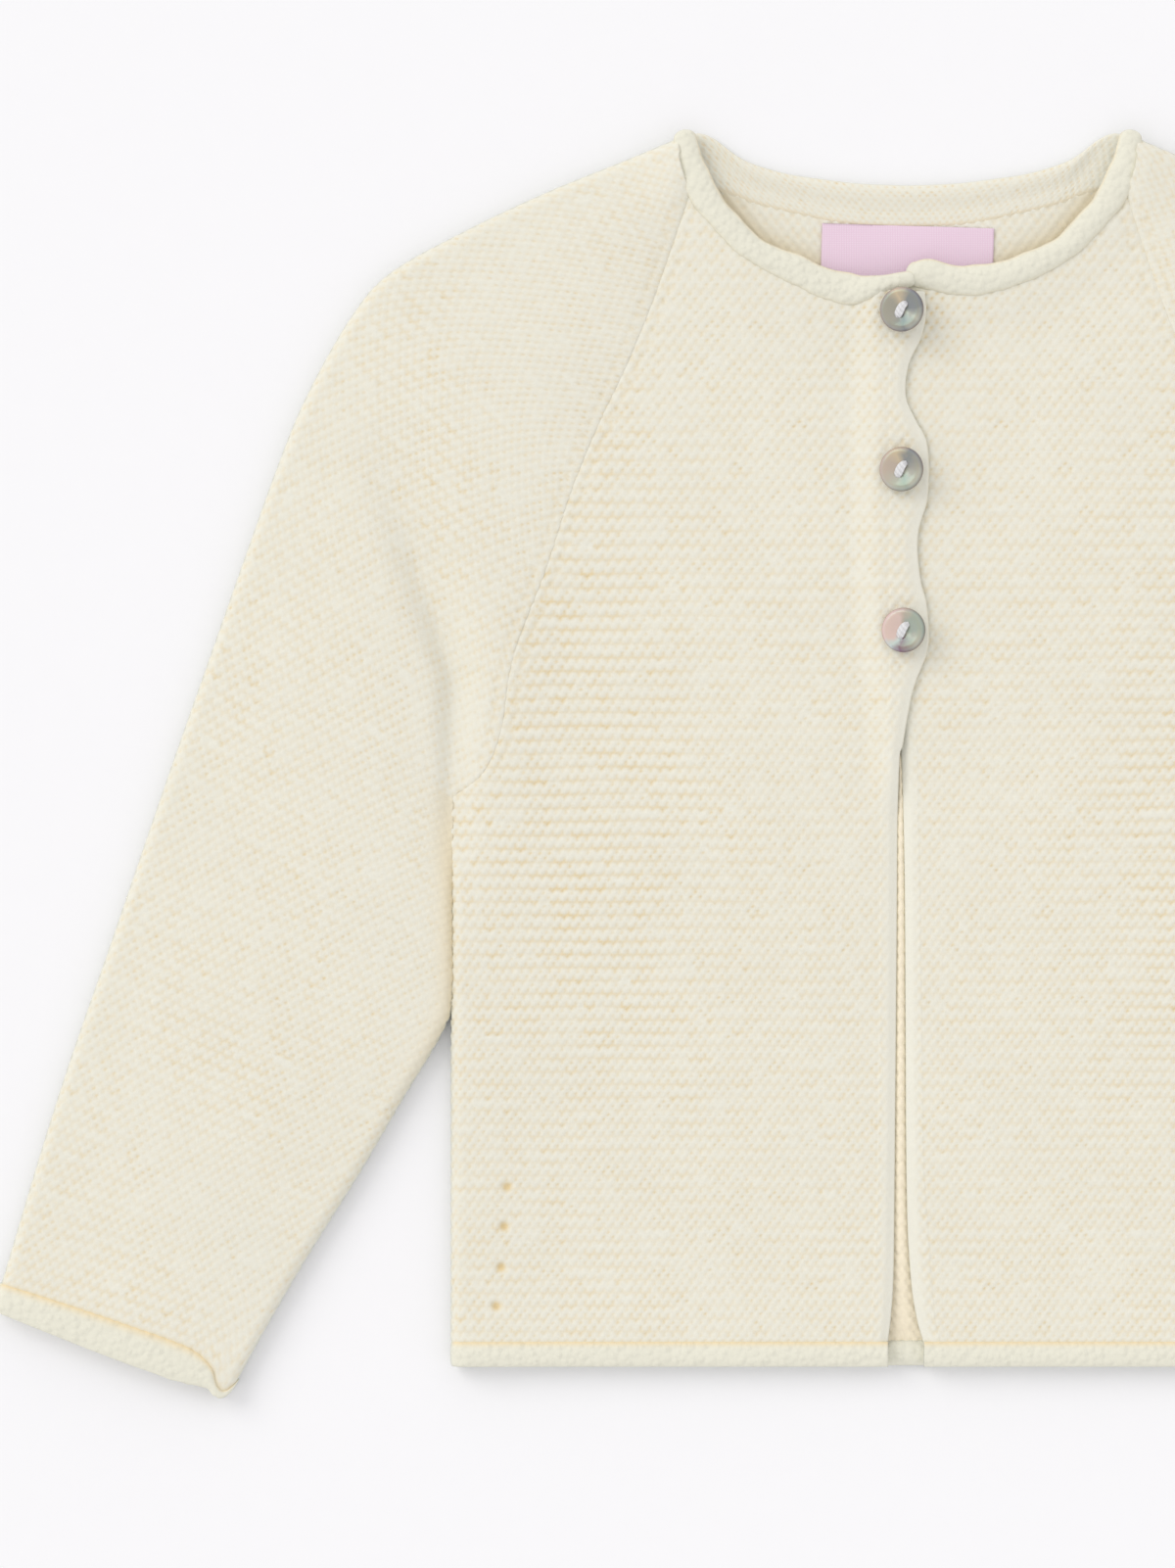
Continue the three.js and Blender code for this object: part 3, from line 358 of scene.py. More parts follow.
print("ridges from hem to neck:", round(float(ridges_up(150)), 1))

# %% [markdown]
# A closed wall of cloth
#
# A wall with two faces and a rim is a true piece of cloth: it has thickness where an edge shows, and it is
# closed, so that it can be measured or printed. A solidify modifier could add the second face, but it
# would copy every stitch to a side that nobody sees. So the outer face is a fine grid, clamped to the
# outline, and the inner face is a loose net of triangles through the same rim, made by Delaunay's method.

# %% Faces of a grid
# Parts of a millimetre within which two points count as one.
SAME_PLACE = 500


def merge_grid(u, v):
    """Numbers for the grid's points, where points that were clamped together count once."""
    keys = np.round(np.stack([u.ravel(), v.ravel()], 1) * SAME_PLACE).astype(np.int64)
    _, first, number = np.unique(keys, axis=0, return_index=True, return_inverse=True)
    return u.ravel()[first], v.ravel()[first], number.reshape(u.shape)


def grid_faces(number):
    """Faces between the points of a grid: triangles where two of four corners are the same point."""
    a, b, c, d = (number[:-1, :-1], number[:-1, 1:], number[1:, 1:], number[1:, :-1])
    corners = np.stack([a.ravel(), b.ravel(), c.ravel(), d.ravel()], 1)
    same = corners == np.roll(corners, -1, axis=1)
    across = (corners[:, 0] == corners[:, 2]) | (corners[:, 1] == corners[:, 3])
    count = same.sum(1)
    faces = corners[(count == 0) & ~across].tolist()
    for k in range(4):
        keep = [j for j in range(4) if j != k]
        faces += corners[(count == 1) & same[:, k]][:, keep].tolist()
    return faces


def rim_of(faces):
    """The numbers round the outside of some faces, in order."""
    edges = {(a, b) for face in faces for a, b in zip(face, face[1:] + face[:1])}
    ahead = {a: b for a, b in edges if (b, a) not in edges}
    rim = [next(iter(sorted(ahead)))]
    while len(rim) < len(ahead):
        rim.append(ahead[rim[-1]])
        if rim[-1] == rim[0]:
            raise ValueError("the outline has more than one loop")
    return rim


def inside(points, outline, margin):
    """Which points lie inside an outline, and at least a margin from its points."""
    x, y = points.T
    (ax, ay), (bx, by) = outline.T[:, :, None], np.roll(outline, -1, axis=0).T[:, :, None]
    with np.errstate(divide="ignore", invalid="ignore"):
        crosses = ((ay > y) != (by > y)) & (x < (bx - ax) * (y - ay) / (by - ay) + ax)
    clear = np.hypot(ax - x, ay - y).min(0) > margin
    return (crosses.sum(0) % 2 == 1) & clear


print("a grid of 3 by 3 points has", len(grid_faces(np.arange(9).reshape(3, 3))), "faces")


# %% From points to an object
def new_mesh(name, points, faces, mirror=False, flip=False):
    """A smooth mesh in metres from points in the drawing's millimetres, mirrored or turned inside out."""
    points = np.array(points, float)
    points[:, 1] += DOWN
    if mirror:
        points[:, 0] *= -1
    if mirror != flip:
        faces = [face[::-1] for face in faces]
    mesh = bpy.data.meshes.new(name)
    mesh.from_pydata((points * MM).tolist(), [], faces)
    mesh.shade_smooth()
    return mesh


def place(mesh, *nodes, slot=None):
    """An object for a finished mesh, which rides on the body and stands for its CAD nodes."""
    piece = bpy.data.objects.new(mesh.name, mesh)
    bpy.context.scene.collection.objects.link(piece)
    print(f"{piece.name} stands for", *(nodes or ["no node of its own"]))
    if nodes:
        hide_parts(*nodes)
    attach(piece, "root")
    return piece


def paint(mesh, knit, painted_shade):
    """Keeps stitches and ridges as a UV map, and the shade to paint at each point."""
    corner = np.zeros(len(mesh.loops), np.int64)
    mesh.loops.foreach_get("vertex_index", corner)
    layer = mesh.uv_layers.new(name="knit")
    layer.data.foreach_set("uv", np.asarray(knit, np.float32)[corner].ravel())
    # The attribute holds painted shade: in furrows, creases, ditches and holes.
    depth = mesh.attributes.new("painted_shade", "FLOAT", "POINT")
    depth.data.foreach_set("value", np.asarray(painted_shade, np.float32))


# %% The wall
HIDDEN_SPACING = 7.0


def hidden_points(outline, more):
    """A loose net for the inner face, and a close one where more(points) says that it shows."""
    low, high = outline.min(0), outline.max(0)
    net = np.stack(np.meshgrid(*(np.arange(low[k], high[k], HIDDEN_SPACING) for k in (0, 1))), -1)
    net = net.reshape(-1, 2)
    net = net[inside(net, outline, 0.45 * HIDDEN_SPACING)]
    if more is None:
        return net
    close = np.stack(np.meshgrid(np.arange(low[0], high[0], STITCH / 4),
                                 np.arange(low[1], high[1], RIDGE / 6)), -1).reshape(-1, 2)
    close = close[more(close)]
    return np.vstack([net[~more(net)], close[inside(close, outline, 0.35)]])


def knitted_wall(name, u, v, outer, inner, pattern, more=None, mirror=False, flip=False):
    """A closed wall. outer and inner place its two faces, and pattern gives its stitches and painted shade.
    """
    flat_u, flat_v, number = merge_grid(u, v)
    faces = grid_faces(number)
    rim = rim_of(faces)
    outline = np.stack([flat_u[rim], flat_v[rim]], 1)
    spots = np.vstack([outline, hidden_points(outline, more)])
    found = delaunay_2d_cdt([Vector(p) for p in spots.tolist()], [], [list(range(len(rim)))], 1, 1e-6)
    spots = np.array([tuple(p) for p in found[0]])
    origin = {old: new for new, olds in enumerate(found[3]) for old in olds}
    base = len(flat_u)
    twin = [base + origin[k] for k in range(len(rim))]
    back_faces = [[base + k for k in face][::-1] for face in found[2]]
    rim_faces = []
    for k in range(len(rim)):
        j = (k + 1) % len(rim)
        rim_faces.append([rim[j], rim[k], twin[k], twin[j]])
    points = np.vstack([outer(flat_u, flat_v), inner(spots[:, 0], spots[:, 1])])
    mesh = new_mesh(name, points, faces + rim_faces + back_faces, mirror, flip)
    p, q, painted_shade = pattern(np.concatenate([flat_u, spots[:, 0]]), np.concatenate([flat_v, spots[:, 1]]))
    paint(mesh, np.stack([p, q], 1), painted_shade)
    triangles = sum(len(face.vertices) - 2 for face in mesh.polygons)
    print(f"{name}: {triangles} triangles, {len(rim)} points round its rim")
    return mesh


# %% [markdown]
# The two fronts
#
# Each front is one panel, from the side seam and the raglan line to the narrow band at its edge. Its
# ridges run level. The grid is unrolled cloth: where the panel's side curls down to the seam, the fold
# function bends the flat grid round, so that no stitch is stretched. Four eyelets near the side seam and
# the small holes beside the raglan, where stitches were taken off, are dimples in the same relief.

# %% Where a panel ends
def clear_of_roll(table, gap):
    """The line beside the neck roll where a panel ends, a gap away from it."""
    rows = np.array(table, float)
    run = np.gradient(rows[:, :2], axis=0)
    run[1:-1] *= 2
    run /= np.linalg.norm(run, axis=1)[:, None]
    reach = (rows[:, 2] + gap)[:, None]
    return rows[:, :2] + reach * np.stack([-run[:, 1], run[:, 0]], 1)


raglan_line = smooth_rows(RAGLAN)
raglan_back_line = smooth_rows([*RAGLAN[:-1], RAGLAN_BACK_TOP])
# A panel ends this far from the neck roll's edge. Below zero, it goes under the roll.
TUCK = -2.0
# Half of the gap between two panels at a seam.
SEAM_GAP = 0.15


def side_of(line, y):
    """Where a panel's side is at a height: on its raglan line, or below that on the body's side."""
    return np.where(y > UNDERARM_Y, np.interp(y, line[:, 1], line[:, 0]), -BODY_HALF)


def unrolled_side(line, radius, y):
    """Where the side would be, if the cloth that curls down to its seam lay flat."""
    wrap = wrap_at(y)
    return side_of(line, y) - radius(y) * (wrap - np.sin(wrap))


print("the body's side lies", side_of(raglan_line, np.float64(-100)), "mm from the middle")


# %% Outline of a front
def front_radius(side, y):
    return front_height(side, side_of(raglan_line, y), y) - SEAM_HEIGHT - SEAM_GAP


def on_line(side, rows, y):
    """x at a height of a line. The left front is built mirrored, and so is its line."""
    x = np.interp(y, rows[:, 1], rows[:, 0])
    return x if side == "right" else -x


def outer_edge(side, y):
    return on_line(side, edge_line[side], y)


def band_start(side, y):
    return on_line(side, np.array(BAND_START[side], float), y)


def neckline(side, x):
    """The height at which a front ends under the neck roll."""
    beside = clear_of_roll(NECK_ROLL[side], TUCK)
    beside = beside[beside[:, 0] > RAGLAN[-1][0] + 1][::-1]
    corner = float(band_start(side, FRONT_TOP))
    beside = beside[beside[:, 0] < corner - 1]
    line = smooth_rows([RAGLAN[-1], *beside.tolist(), (corner, FRONT_TOP)], 6)
    return np.interp(x, line[:, 0], line[:, 1])


band_width = float(outer_edge("right", 0) - band_start("right", 0))
print(f"the band of the right front is {band_width:.1f} mm wide")

# %% Small holes in the knitting
# Eyelets by the side seam, and how deep the cloth goes down in a hole.
EYELETS = [(-113.6, -120.4), (-114.4, -131.5), (-115.3, -142.9), (-116.7, -153.8)]
EYELET_RADIUS, HOLE_DEPTH = 1.25, 1.2
# The marks beside the raglan line: size, way in from it, and depth as a share of an eyelet's.
MARK_RADIUS, MARK_INSET, MARK_SHARE = 0.85, 3.0, 0.4
# The top button pulls the stitches round it open, and the gaps there get more painted shade.
OPEN_X, OPEN_Y, OPEN_REACH = -4, 126, 13


def raglan_marks(inset):
    """A hole beside the raglan line at every ridge, where the knitter took off a stitch."""
    y = np.arange(UNDERARM_Y + 3 * RIDGE, RAGLAN[-1][1] - RIDGE, RIDGE)
    x = np.interp(y, raglan_line[:, 1], raglan_line[:, 0]) + inset
    return np.stack([x, y], 1)


def hole_depth(places, radius, x, y):
    """1 in the middle of each hole, and soft down to 0 outside it."""
    depth = np.zeros(np.shape(x))
    for hole_x, hole_y in places:
        depth = np.maximum(depth, bell(np.hypot(x - hole_x, y - hole_y), radius))
    return depth


print(len(EYELETS), "eyelets and", len(raglan_marks(MARK_INSET)), "raglan marks in each front")

# %% The cloth of a front
# How far the ridges sway, how far the cloth sinks at a seam, and how far it goes on past the seam's line.
SWAY = 0.35
SEAM_GROOVE, SEAM_LAP = 0.12, 0.5
# Height at which the stitches are counted from the band.
COUNT_Y = -60


def into_seam(off, distance):
    """The cloth sinks smoothly into a seam, where its stitches end."""
    return mix(-SEAM_GROOVE, off, smooth_step(distance, -SEAM_LAP, 0.9))


def front_place(side, u, v, off):
    """A point of a front's cloth, off mm over its outer face."""
    edge = side_of(raglan_line, v)
    radius = front_radius(side, v)
    wrap = wrap_at(v)
    inward, drop = fold(u - unrolled_side(raglan_line, lambda y: radius, v), radius, wrap, off)
    x = edge + inward
    inner = smooth_step(x, edge + 2, edge + 12) * smooth_step(v, HEM_Y + 1, HEM_Y + 12)
    sway = SWAY * wander(1.7 * x, v + 60) * inner * smooth_step(FRONT_TOP - v, 0, 12)
    return np.stack([x, v + sway, front_height(side, x, v) + drop], 1)


def front_pattern(side, u, v):
    """Stitches, ridges, height over the cloth and painted shade. The knitting goes smooth towards the edge.
    """
    start = float(band_start(side, COUNT_Y))
    p, q = (u - start) / stitch_at(v), ridges_up(v)
    opened = bell(np.hypot(u - OPEN_X, v - OPEN_Y), OPEN_REACH)
    height, shade = loops(p, q, pulled_at(u, v), opened)
    garter = smooth_step(outer_edge(side, v) - u, 0.8, 5.5) * smooth_step(v - HEM_Y, -0.2, 1.6)
    # Painted warm shade in the crease where the hem roll starts.
    crease = 0.6 * bell(v - HEM_Y, 0.8)
    hole = hole_depth(EYELETS, EYELET_RADIUS, u, v)
    hole = np.maximum(hole, MARK_SHARE * hole_depth(raglan_marks(MARK_INSET), MARK_RADIUS, u, v))
    off = mix(0.05, RELIEF * (height - 1) + CREST, garter) - HOLE_DEPTH * hole
    # The eyelets and raglan marks are dimples, and they get painted shade as well.
    return p, q, off, np.maximum(np.maximum(shade * garter, crease), 1.4 * hole)


print("a point on the right front:", front_place("right", np.array([-60.0]), np.zeros(1), 0)[0].round(1))


# %% Make the fronts
# Stitches out to the side and in past the band, and points in a stitch and in a ridge.
STITCHES_OUT, STITCHES_IN = 52, 5
PER_STITCH, PER_RIDGE = 4, 6


def make_front(side):
    """A grid of whole stitches and ridges, clamped to the outline."""
    start = float(band_start(side, COUNT_Y))
    p, q = np.meshgrid(np.arange(-STITCHES_OUT, STITCHES_IN, 1 / PER_STITCH),
                       np.arange(0, ridges_up(RAGLAN[-1][1]) + 0.2, 1 / PER_RIDGE))
    v = ridge_y(q)
    left = unrolled_side(raglan_line, lambda y: front_radius(side, y), v) - SEAM_LAP * (v > UNDERARM_Y)
    u = np.clip(start + p * stitch_at(v), left, band_start(side, v))
    v = np.minimum(v, neckline(side, u))

    def outer(u, v):
        distance = np.where(v > UNDERARM_Y, u - side_of(raglan_line, v), 9)
        return front_place(side, u, v, into_seam(front_pattern(side, u, v)[2], distance))

    def pattern(u, v):
        p, q, off, shade = front_pattern(side, u, v)
        return p, q, shade

    return knitted_wall(f"knit_front_{side}", u, v, outer, lambda u, v: front_place(side, u, v, -WALL),
                        pattern, mirror=side == "left")


front = {side: place(make_front(side), f"front_{side}", slot="garter_knit") for side in ("right", "left")}

# %% [markdown]
# The back
#
# The back is one panel that lies flat on the surface, with its sides turned up to the seams. Its inner
# face shows in two places: in the neck opening, and in the slit between the fronts. Only there does the
# inner face get stitches. The underside, which rests on the surface, has all of its ridges in a coarser
# grid. The relief goes inwards from the resting plane, so the cloth doesn't reach below the surface.

# %% The cloth of the back
BACK_RADIUS = SEAM_HEIGHT - SEAM_GAP
# Where the inner face shows: half width and top of the slit, bottom and half width of the neck opening.
SLIT_HALF, SLIT_TOP = 12, 12
NECK_WINDOW_Y, NECK_WINDOW_HALF = 122, 66
# How far the cloth swells up into the slit, where that is narrow and where it is wide.
SWELL_NARROW, SWELL_WIDE = 2.5, 0.9


def back_left(v):
    return unrolled_side(raglan_back_line, lambda y: BACK_RADIUS, v)


def back_place(u, v, off):
    """A point of the back's cloth, off mm outside its lower face."""
    reach = -np.abs(u)
    inward, drop = fold(reach - back_left(v), BACK_RADIUS, wrap_at(v), off)
    x = side_of(raglan_back_line, v) + inward
    return np.stack([np.where(u > 0, -x, x), v, -drop], 1)


def slit_swell(u, v):
    """How far the thick cloth swells up into the slit between the fronts."""
    left, right = outer_edge("right", v), -outer_edge("left", v)
    half = np.maximum((right - left) / 2, 0.3)
    swell = mix(SWELL_NARROW, SWELL_WIDE, smooth_step(half, 0.5, 3))
    ends = (1 - smooth_step(v, 0, 8)) * smooth_step(v, HEM_Y, HEM_Y + 8)
    return swell * bell(u - (left + right) / 2, 0.9 * half + 0.6) * ends


def seen_from_front(net):
    """Which points of the inner face show in the neck opening or in the slit."""
    x, y = np.abs(net[:, 0]), net[:, 1]
    in_neck = (y > NECK_WINDOW_Y) & (x < NECK_WINDOW_HALF)
    return in_neck | ((x < SLIT_HALF) & (y < SLIT_TOP))


def back_pattern(u, v):
    """Stitches, ridges and how far the ridges are pulled apart."""
    return u / stitch_at(v), ridges_up(v), 0.75 - 0.4 * smooth_step(v, 100, 125)


print("the back's flat half width is", round(-float(back_left(np.float64(-100))), 1), "mm")


# %% Make the back
def make_back():
    """Two points in a stitch and three in a ridge below, and a close net above where it shows."""
    p, q = np.meshgrid(np.arange(-52, 52.1, 0.5), np.arange(0, ridges_up(RAGLAN_BACK_TOP[1]) + 0.4, 1 / 3))
    v = ridge_y(q)
    u = np.clip(p * stitch_at(v), back_left(v), -back_left(v))
    low = smooth_rows(BAND_LOW, 6)
    v = np.minimum(v, np.interp(-np.abs(u), low[:, 0], low[:, 1]))

    def outer(u, v):
        return back_place(u, v, RELIEF * (loops(*back_pattern(u, v))[0] - 1))

    def inner(u, v):
        shown = seen_from_front(np.stack([u, v], 1))
        relief = RELIEF * (loops(*back_pattern(u, v))[0] - 0.7) + slit_swell(u, v)
        return back_place(u, v, -WALL - np.where(shown, relief, 0))

    def pattern(u, v):
        p, q, pulled = back_pattern(u, v)
        # Painted warm shade on the inner face beside the neck roll.
        beside = bell(nearest(neck_line["right"], -np.abs(u), v)[0], 6.5) * smooth_step(v, 120, 130)
        return p, q, np.maximum(loops(p, q, pulled)[1], 0.9 * beside)

    return knitted_wall("knit_back", u, v, outer, inner, pattern, more=seen_from_front, flip=True)


back = place(make_back(), "back", slot="garter_knit")

# %% [markdown]
# The sleeves
#
# A raglan sleeve is one panel, folded along its outer edge and closed under the arm. Its rows run across
# it, square to the fold, so on the shoulder they fan out. The grid follows that: one line of it is one
# row of knitting, the same number of ridges on the fold as on the seam. It goes over the arm, round the
# fold in a half circle, and back below, where the cloth rests and a coarser grid will do.

# %% The sleeve's lines
LOW_RIDGES, TOP_RIDGES = 50, 51
RIDGES = LOW_RIDGES + TOP_RIDGES
fold_low, fold_top = along(SLEEVE_FOLD_LOW), along(SLEEVE_FOLD_TOP)
under_arm, raglan_front = along(SLEEVE_UNDER), along(RAGLAN)
raglan_back = along([*RAGLAN[:-1], RAGLAN_BACK_TOP])


def by_ridge(low, top, v):
    """A place on the sleeve's lower or upper line, for a number of ridges from the cuff."""
    below = low(np.clip(v / LOW_RIDGES, 0, 1))
    above = top(np.clip((v - LOW_RIDGES) / TOP_RIDGES, 0, 1))
    return np.where((v <= LOW_RIDGES)[..., None], below, above)


def sleeve_section(side, v):
    """The sizes of the sleeve's section at a number of ridges from the cuff."""
    edge = by_ridge(fold_low, fold_top, v)
    front_in = by_ridge(under_arm, raglan_front, v)
    back_in = by_ridge(under_arm, raglan_back, v)
    across = edge - front_in
    width = np.linalg.norm(across, axis=-1)
    near = front_in + across * (1 - SLEEVE_EDGE_HEIGHT / 2 / width)[..., None]
    high = SLEEVE_EDGE_HEIGHT + common_rise(side, near[..., 0], near[..., 1])
    edge_rise = np.where(v <= LOW_RIDGES, SLEEVE_EDGE_HEIGHT,
                         body_height(front_in[..., 0], front_in[..., 1]))
    at_edge = edge_rise + common_rise(side, front_in[..., 0], front_in[..., 1])
    wrap = np.where(v <= LOW_RIDGES, wrap_at(front_in[..., 1]), 0)
    back_across = edge - back_in
    back_width = np.linalg.norm(back_across, axis=-1)
    # Widths are measured along the cloth, so that a curled stretch counts by its own length.
    made = {"edge": edge, "front_in": front_in, "back_in": back_in, "width": width, "half": high / 2,
            "high": high, "edge_rise": edge_rise, "radius": at_edge - SEAM_HEIGHT - SEAM_GAP, "wrap": wrap,
            "across": across / width[..., None], "back_across": back_across / back_width[..., None]}
    turn = wrap - np.sin(wrap)
    made["upper"] = high / 2 * (math.pi / 2 - 1) + width + made["radius"] * turn
    made["lower"] = high / 2 * (math.pi / 2 - 1) + back_width + BACK_RADIUS * turn
    return made


cuff_width = float(sleeve_section("right", np.zeros(1))["width"][0])
print(f"a sleeve is {cuff_width:.1f} mm wide at the cuff and has {RIDGES} ridges")


# %% Ends of the sleeve
def sleeve_top_line(side):
    """Where the sleeve's cloth ends beside the neck roll."""
    edge = clear_of_roll(NECK_ROLL[side], 0.3 + TUCK)
    edge = edge[edge[:, 1] > RAGLAN[-1][1] + 3][:-1]
    return along([RAGLAN[-1], *edge.tolist(), SLEEVE_FOLD_TOP[-1]], 6)


# Beside the sleeve's seam the garter stitch comes down over the end of the cuff.
SAG = smooth_rows([(-0.02, 2.5), (0.012, 8.6), (0.04, 10.4), (0.07, 9.2), (0.11, 4.9), (0.19, 1.9),
                   (0.295, 0.9), (0.43, 0.5), (0.7, 0), (1, 0)])
SAG_RIDGES = 12


def sag(share):
    """How far the stitches come down, at a share of the way from the seam to the fold."""
    return np.interp(share, SAG[:, 0], SAG[:, 1])


top_line = {side: sleeve_top_line(side) for side in ("right", "left")}
print("beside the seam the stitches sag by up to", round(float(SAG[:, 1].max()), 1), "mm")


# %% The cloth of a sleeve
def sleeve_place(side, u, v, off):
    """A point of the sleeve: u runs from the underarm below, 0 on the fold, to the front seam."""
    s = sleeve_section(side, v)
    # Round the outer fold
    half = s["half"]
    arc = half * math.pi / 2
    angle = np.clip(u / half, -math.pi / 2, math.pi / 2)
    turn = (0.5 - angle / math.pi)[:, None]
    out = ((half + off) * np.cos(angle) - half)[:, None]
    at_fold = s["edge"] + mix(s["across"], s["back_across"], turn) * out
    # Over the arm. The last rows bow towards the neck roll.
    inward, drop = fold(s["upper"] - u, s["radius"], s["wrap"], off)
    share = np.clip(inward / s["width"], 0, 1)
    pull = (np.clip((v - LOW_RIDGES) / TOP_RIDGES, 0, 1) ** 3)[:, None]
    straight = mix(np.array(RAGLAN[-1]), np.array(SLEEVE_FOLD_TOP[-1]), share[:, None])
    bow = pull * (top_line[side](share) - straight)
    over = s["front_in"] + s["across"] * inward[:, None] + bow
    part = np.clip(inward / (s["width"] - half), 0, 1)
    plain = mix(s["edge_rise"], SLEEVE_EDGE_HEIGHT, part) + SLEEVE_CROWN * np.sin(math.pi * part)
    rise = common_rise(side, over[:, 0], over[:, 1])
    high = np.where(part >= 1, s["high"], plain + rise)
    # Below, where the sleeve rests
    below_in, below_drop = fold(s["lower"] + u, BACK_RADIUS, s["wrap"], off)
    below = s["back_in"] + s["back_across"] * below_in[:, None]
    on_top, under = (u > arc)[:, None], (u < -arc)[:, None]
    place_xy = np.where(on_top, over, np.where(under, below, at_fold))
    # The sag at the cuff
    from_seam = np.where(u > arc, inward, np.where(u < -arc, below_in, s["width"])) / s["width"]
    along_arm = np.stack([-s["across"][:, 1], s["across"][:, 0]], -1)
    hang = sag(from_seam) * np.clip(1 - v / SAG_RIDGES, 0, 1) ** 2
    place_xy = place_xy + along_arm * hang[:, None]
    z = np.where(u > arc, high + drop, np.where(u < -arc, -below_drop, half + (half + off) * np.sin(angle)))
    return np.column_stack([place_xy, z])


on_fold = sleeve_place("right", np.zeros(1), np.array([float(LOW_RIDGES)]), np.zeros(1))[0]
print("a point on the right sleeve's fold:", on_fold.round(1))


# %% Make the sleeves
def make_sleeve(side):
    """Four points in a stitch above and fewer below, and five in a ridge."""
    fine = np.arange(-2, 42, 0.25) * STITCH
    coarse = np.arange(-42.5, -2, 1.5) * STITCH
    u, v = np.meshgrid(np.concatenate([coarse, fine]), np.linspace(0, RIDGES, RIDGES * 5 + 1))
    s = sleeve_section(side, v[:, 0])
    u = np.clip(u, -s["lower"][:, None], s["upper"][:, None])
    marks = raglan_marks(-MARK_INSET)

    def relief(u, v):
        from_ends = smooth_step(v, 0.5, 5) * smooth_step(RIDGES - v, 0.5, 5)
        sway = 0.16 * wander(2.1 * u + 40, 2.4 * v) * from_ends
        pulled = 0.4 + 0.25 * wander(1.2 * u, 5 * v) - 0.15 * smooth_step(v, 70, 95)
        return u / STITCH, v + sway, np.clip(pulled, 0.1, 1)

    def outer(u, v):
        rough = sleeve_place(side, u, v, np.zeros(len(u)))
        hole = MARK_SHARE * hole_depth(marks, MARK_RADIUS, rough[:, 0], rough[:, 1]) * (u > 0)
        distance = np.where(v > LOW_RIDGES, sleeve_section(side, v)["upper"] - u, 9)
        stands = RELIEF * (loops(*relief(u, v))[0] - 1) + CREST * smooth_step(u, -2, 3)
        off = into_seam(stands * smooth_step(v, -0.05, 0.4) - hole, distance)
        return sleeve_place(side, u, v, off)

    def pattern(u, v):
        rough = sleeve_place(side, u, v, np.zeros(len(u)))
        # Painted shade in the raglan marks, beside the body where the sleeve lies against it, and in the
        # crease at the cuff roll.
        hole = 0.5 * hole_depth(marks, MARK_RADIUS, rough[:, 0], rough[:, 1])
        beside_body = bell(sleeve_section(side, v)["upper"] - u, 7) * bell(v - 40, 13) * (v < LOW_RIDGES)
        p, q, pulled = relief(u, v)
        crease = 0.7 * bell(v, 0.3) * (u > -2)
        shade = np.maximum(loops(p, q, pulled)[1], crease)
        return p, q, np.maximum(shade, np.maximum(hole, 0.7 * beside_body))

    return knitted_wall(f"knit_sleeve_{side}", u, v, outer,
                        lambda u, v: sleeve_place(side, u, v, np.full(len(u), -WALL)), pattern,
                        mirror=side == "left")


sleeve = {side: place(make_sleeve(side), f"sleeve_{side}", slot="garter_knit")
          for side in ("right", "left")}

# %% [markdown]
# Rolled edges and bands
#
# Plain knitting curls at its edge, and the maker lets it: hem, cuffs and neck end in soft rolls. Each one
# is a closed tube swept through rings of points, which fits cloth better than a curve with a round bevel
# would, because every ring can have a shape of its own. A hem or cuff roll starts from the panel's last
# row, so that the two fit along their whole length. The neck roll is an oval rope that thins towards the
# button.

# %% Sweep a tube through rings
def swept(name, rings, knit=None, painted_shade=0, mirror=False):
    """A closed tube through rings of points, with its stitches and its painted shade."""
    rings = np.asarray(rings, float)
    count, size = rings.shape[:2]
    number = np.arange(count * size).reshape(count, size)
    ahead = np.roll(number, -1, axis=1)
    faces = np.stack([number[:-1], ahead[:-1], ahead[1:], number[1:]], -1).reshape(-1, 4).tolist()
    for end, turn in ((0, -1), (-1, 1)):
        hub = count * size + (end != 0)
        faces += [[hub, a, b][::turn] for a, b in zip(number[end].tolist(), ahead[end].tolist())]
    hubs = [rings[0].mean(0), rings[-1].mean(0)]
    points = np.vstack([rings.reshape(-1, 3), hubs])
    a, b, c = (points[[face[k] for face in faces]] for k in range(3))
    full = (a * np.cross(b, c)).sum() > 0
    mesh = new_mesh(name, points, faces, mirror, flip=not full)
    if knit is None:
        length = np.concatenate([[0], np.cumsum(np.linalg.norm(np.diff(rings.mean(1), axis=0), axis=1))])
        girth = np.arange(size) / size * np.linalg.norm(np.diff(rings[count // 2], axis=0), axis=1).sum()
        knit = np.stack(np.broadcast_arrays(length[:, None] / STITCH, girth[None] / RIDGE), -1)
    flat = np.vstack([np.reshape(knit, (-1, 2)), [[0, 0], [0, 0]]])
    depth = np.append(np.broadcast_to(painted_shade, (count, size)).ravel(), [0, 0])
    paint(mesh, flat, depth)
    print(f"{name}: {count} rings of {size} points")
    return mesh


# %% Rolls that go on from a panel's last row
# Length of a hem roll, how far the rolls swell, the ditch where a roll starts, and how far it starts
# inside its panel.
HEM_ROLL, ROLL_BULGE, BACK_HEM_BULGE = 6.4, 1.3, 1.8
ROLL_DITCH, ROLL_LAP = 0.15, 0.8
# Steps over a roll, and rings along a front's hem, the back's hem and a cuff.
ROLL_STEPS = 16
FRONT_HEM_RINGS, BACK_HEM_RINGS, CUFF_RINGS = 190, 300, 240


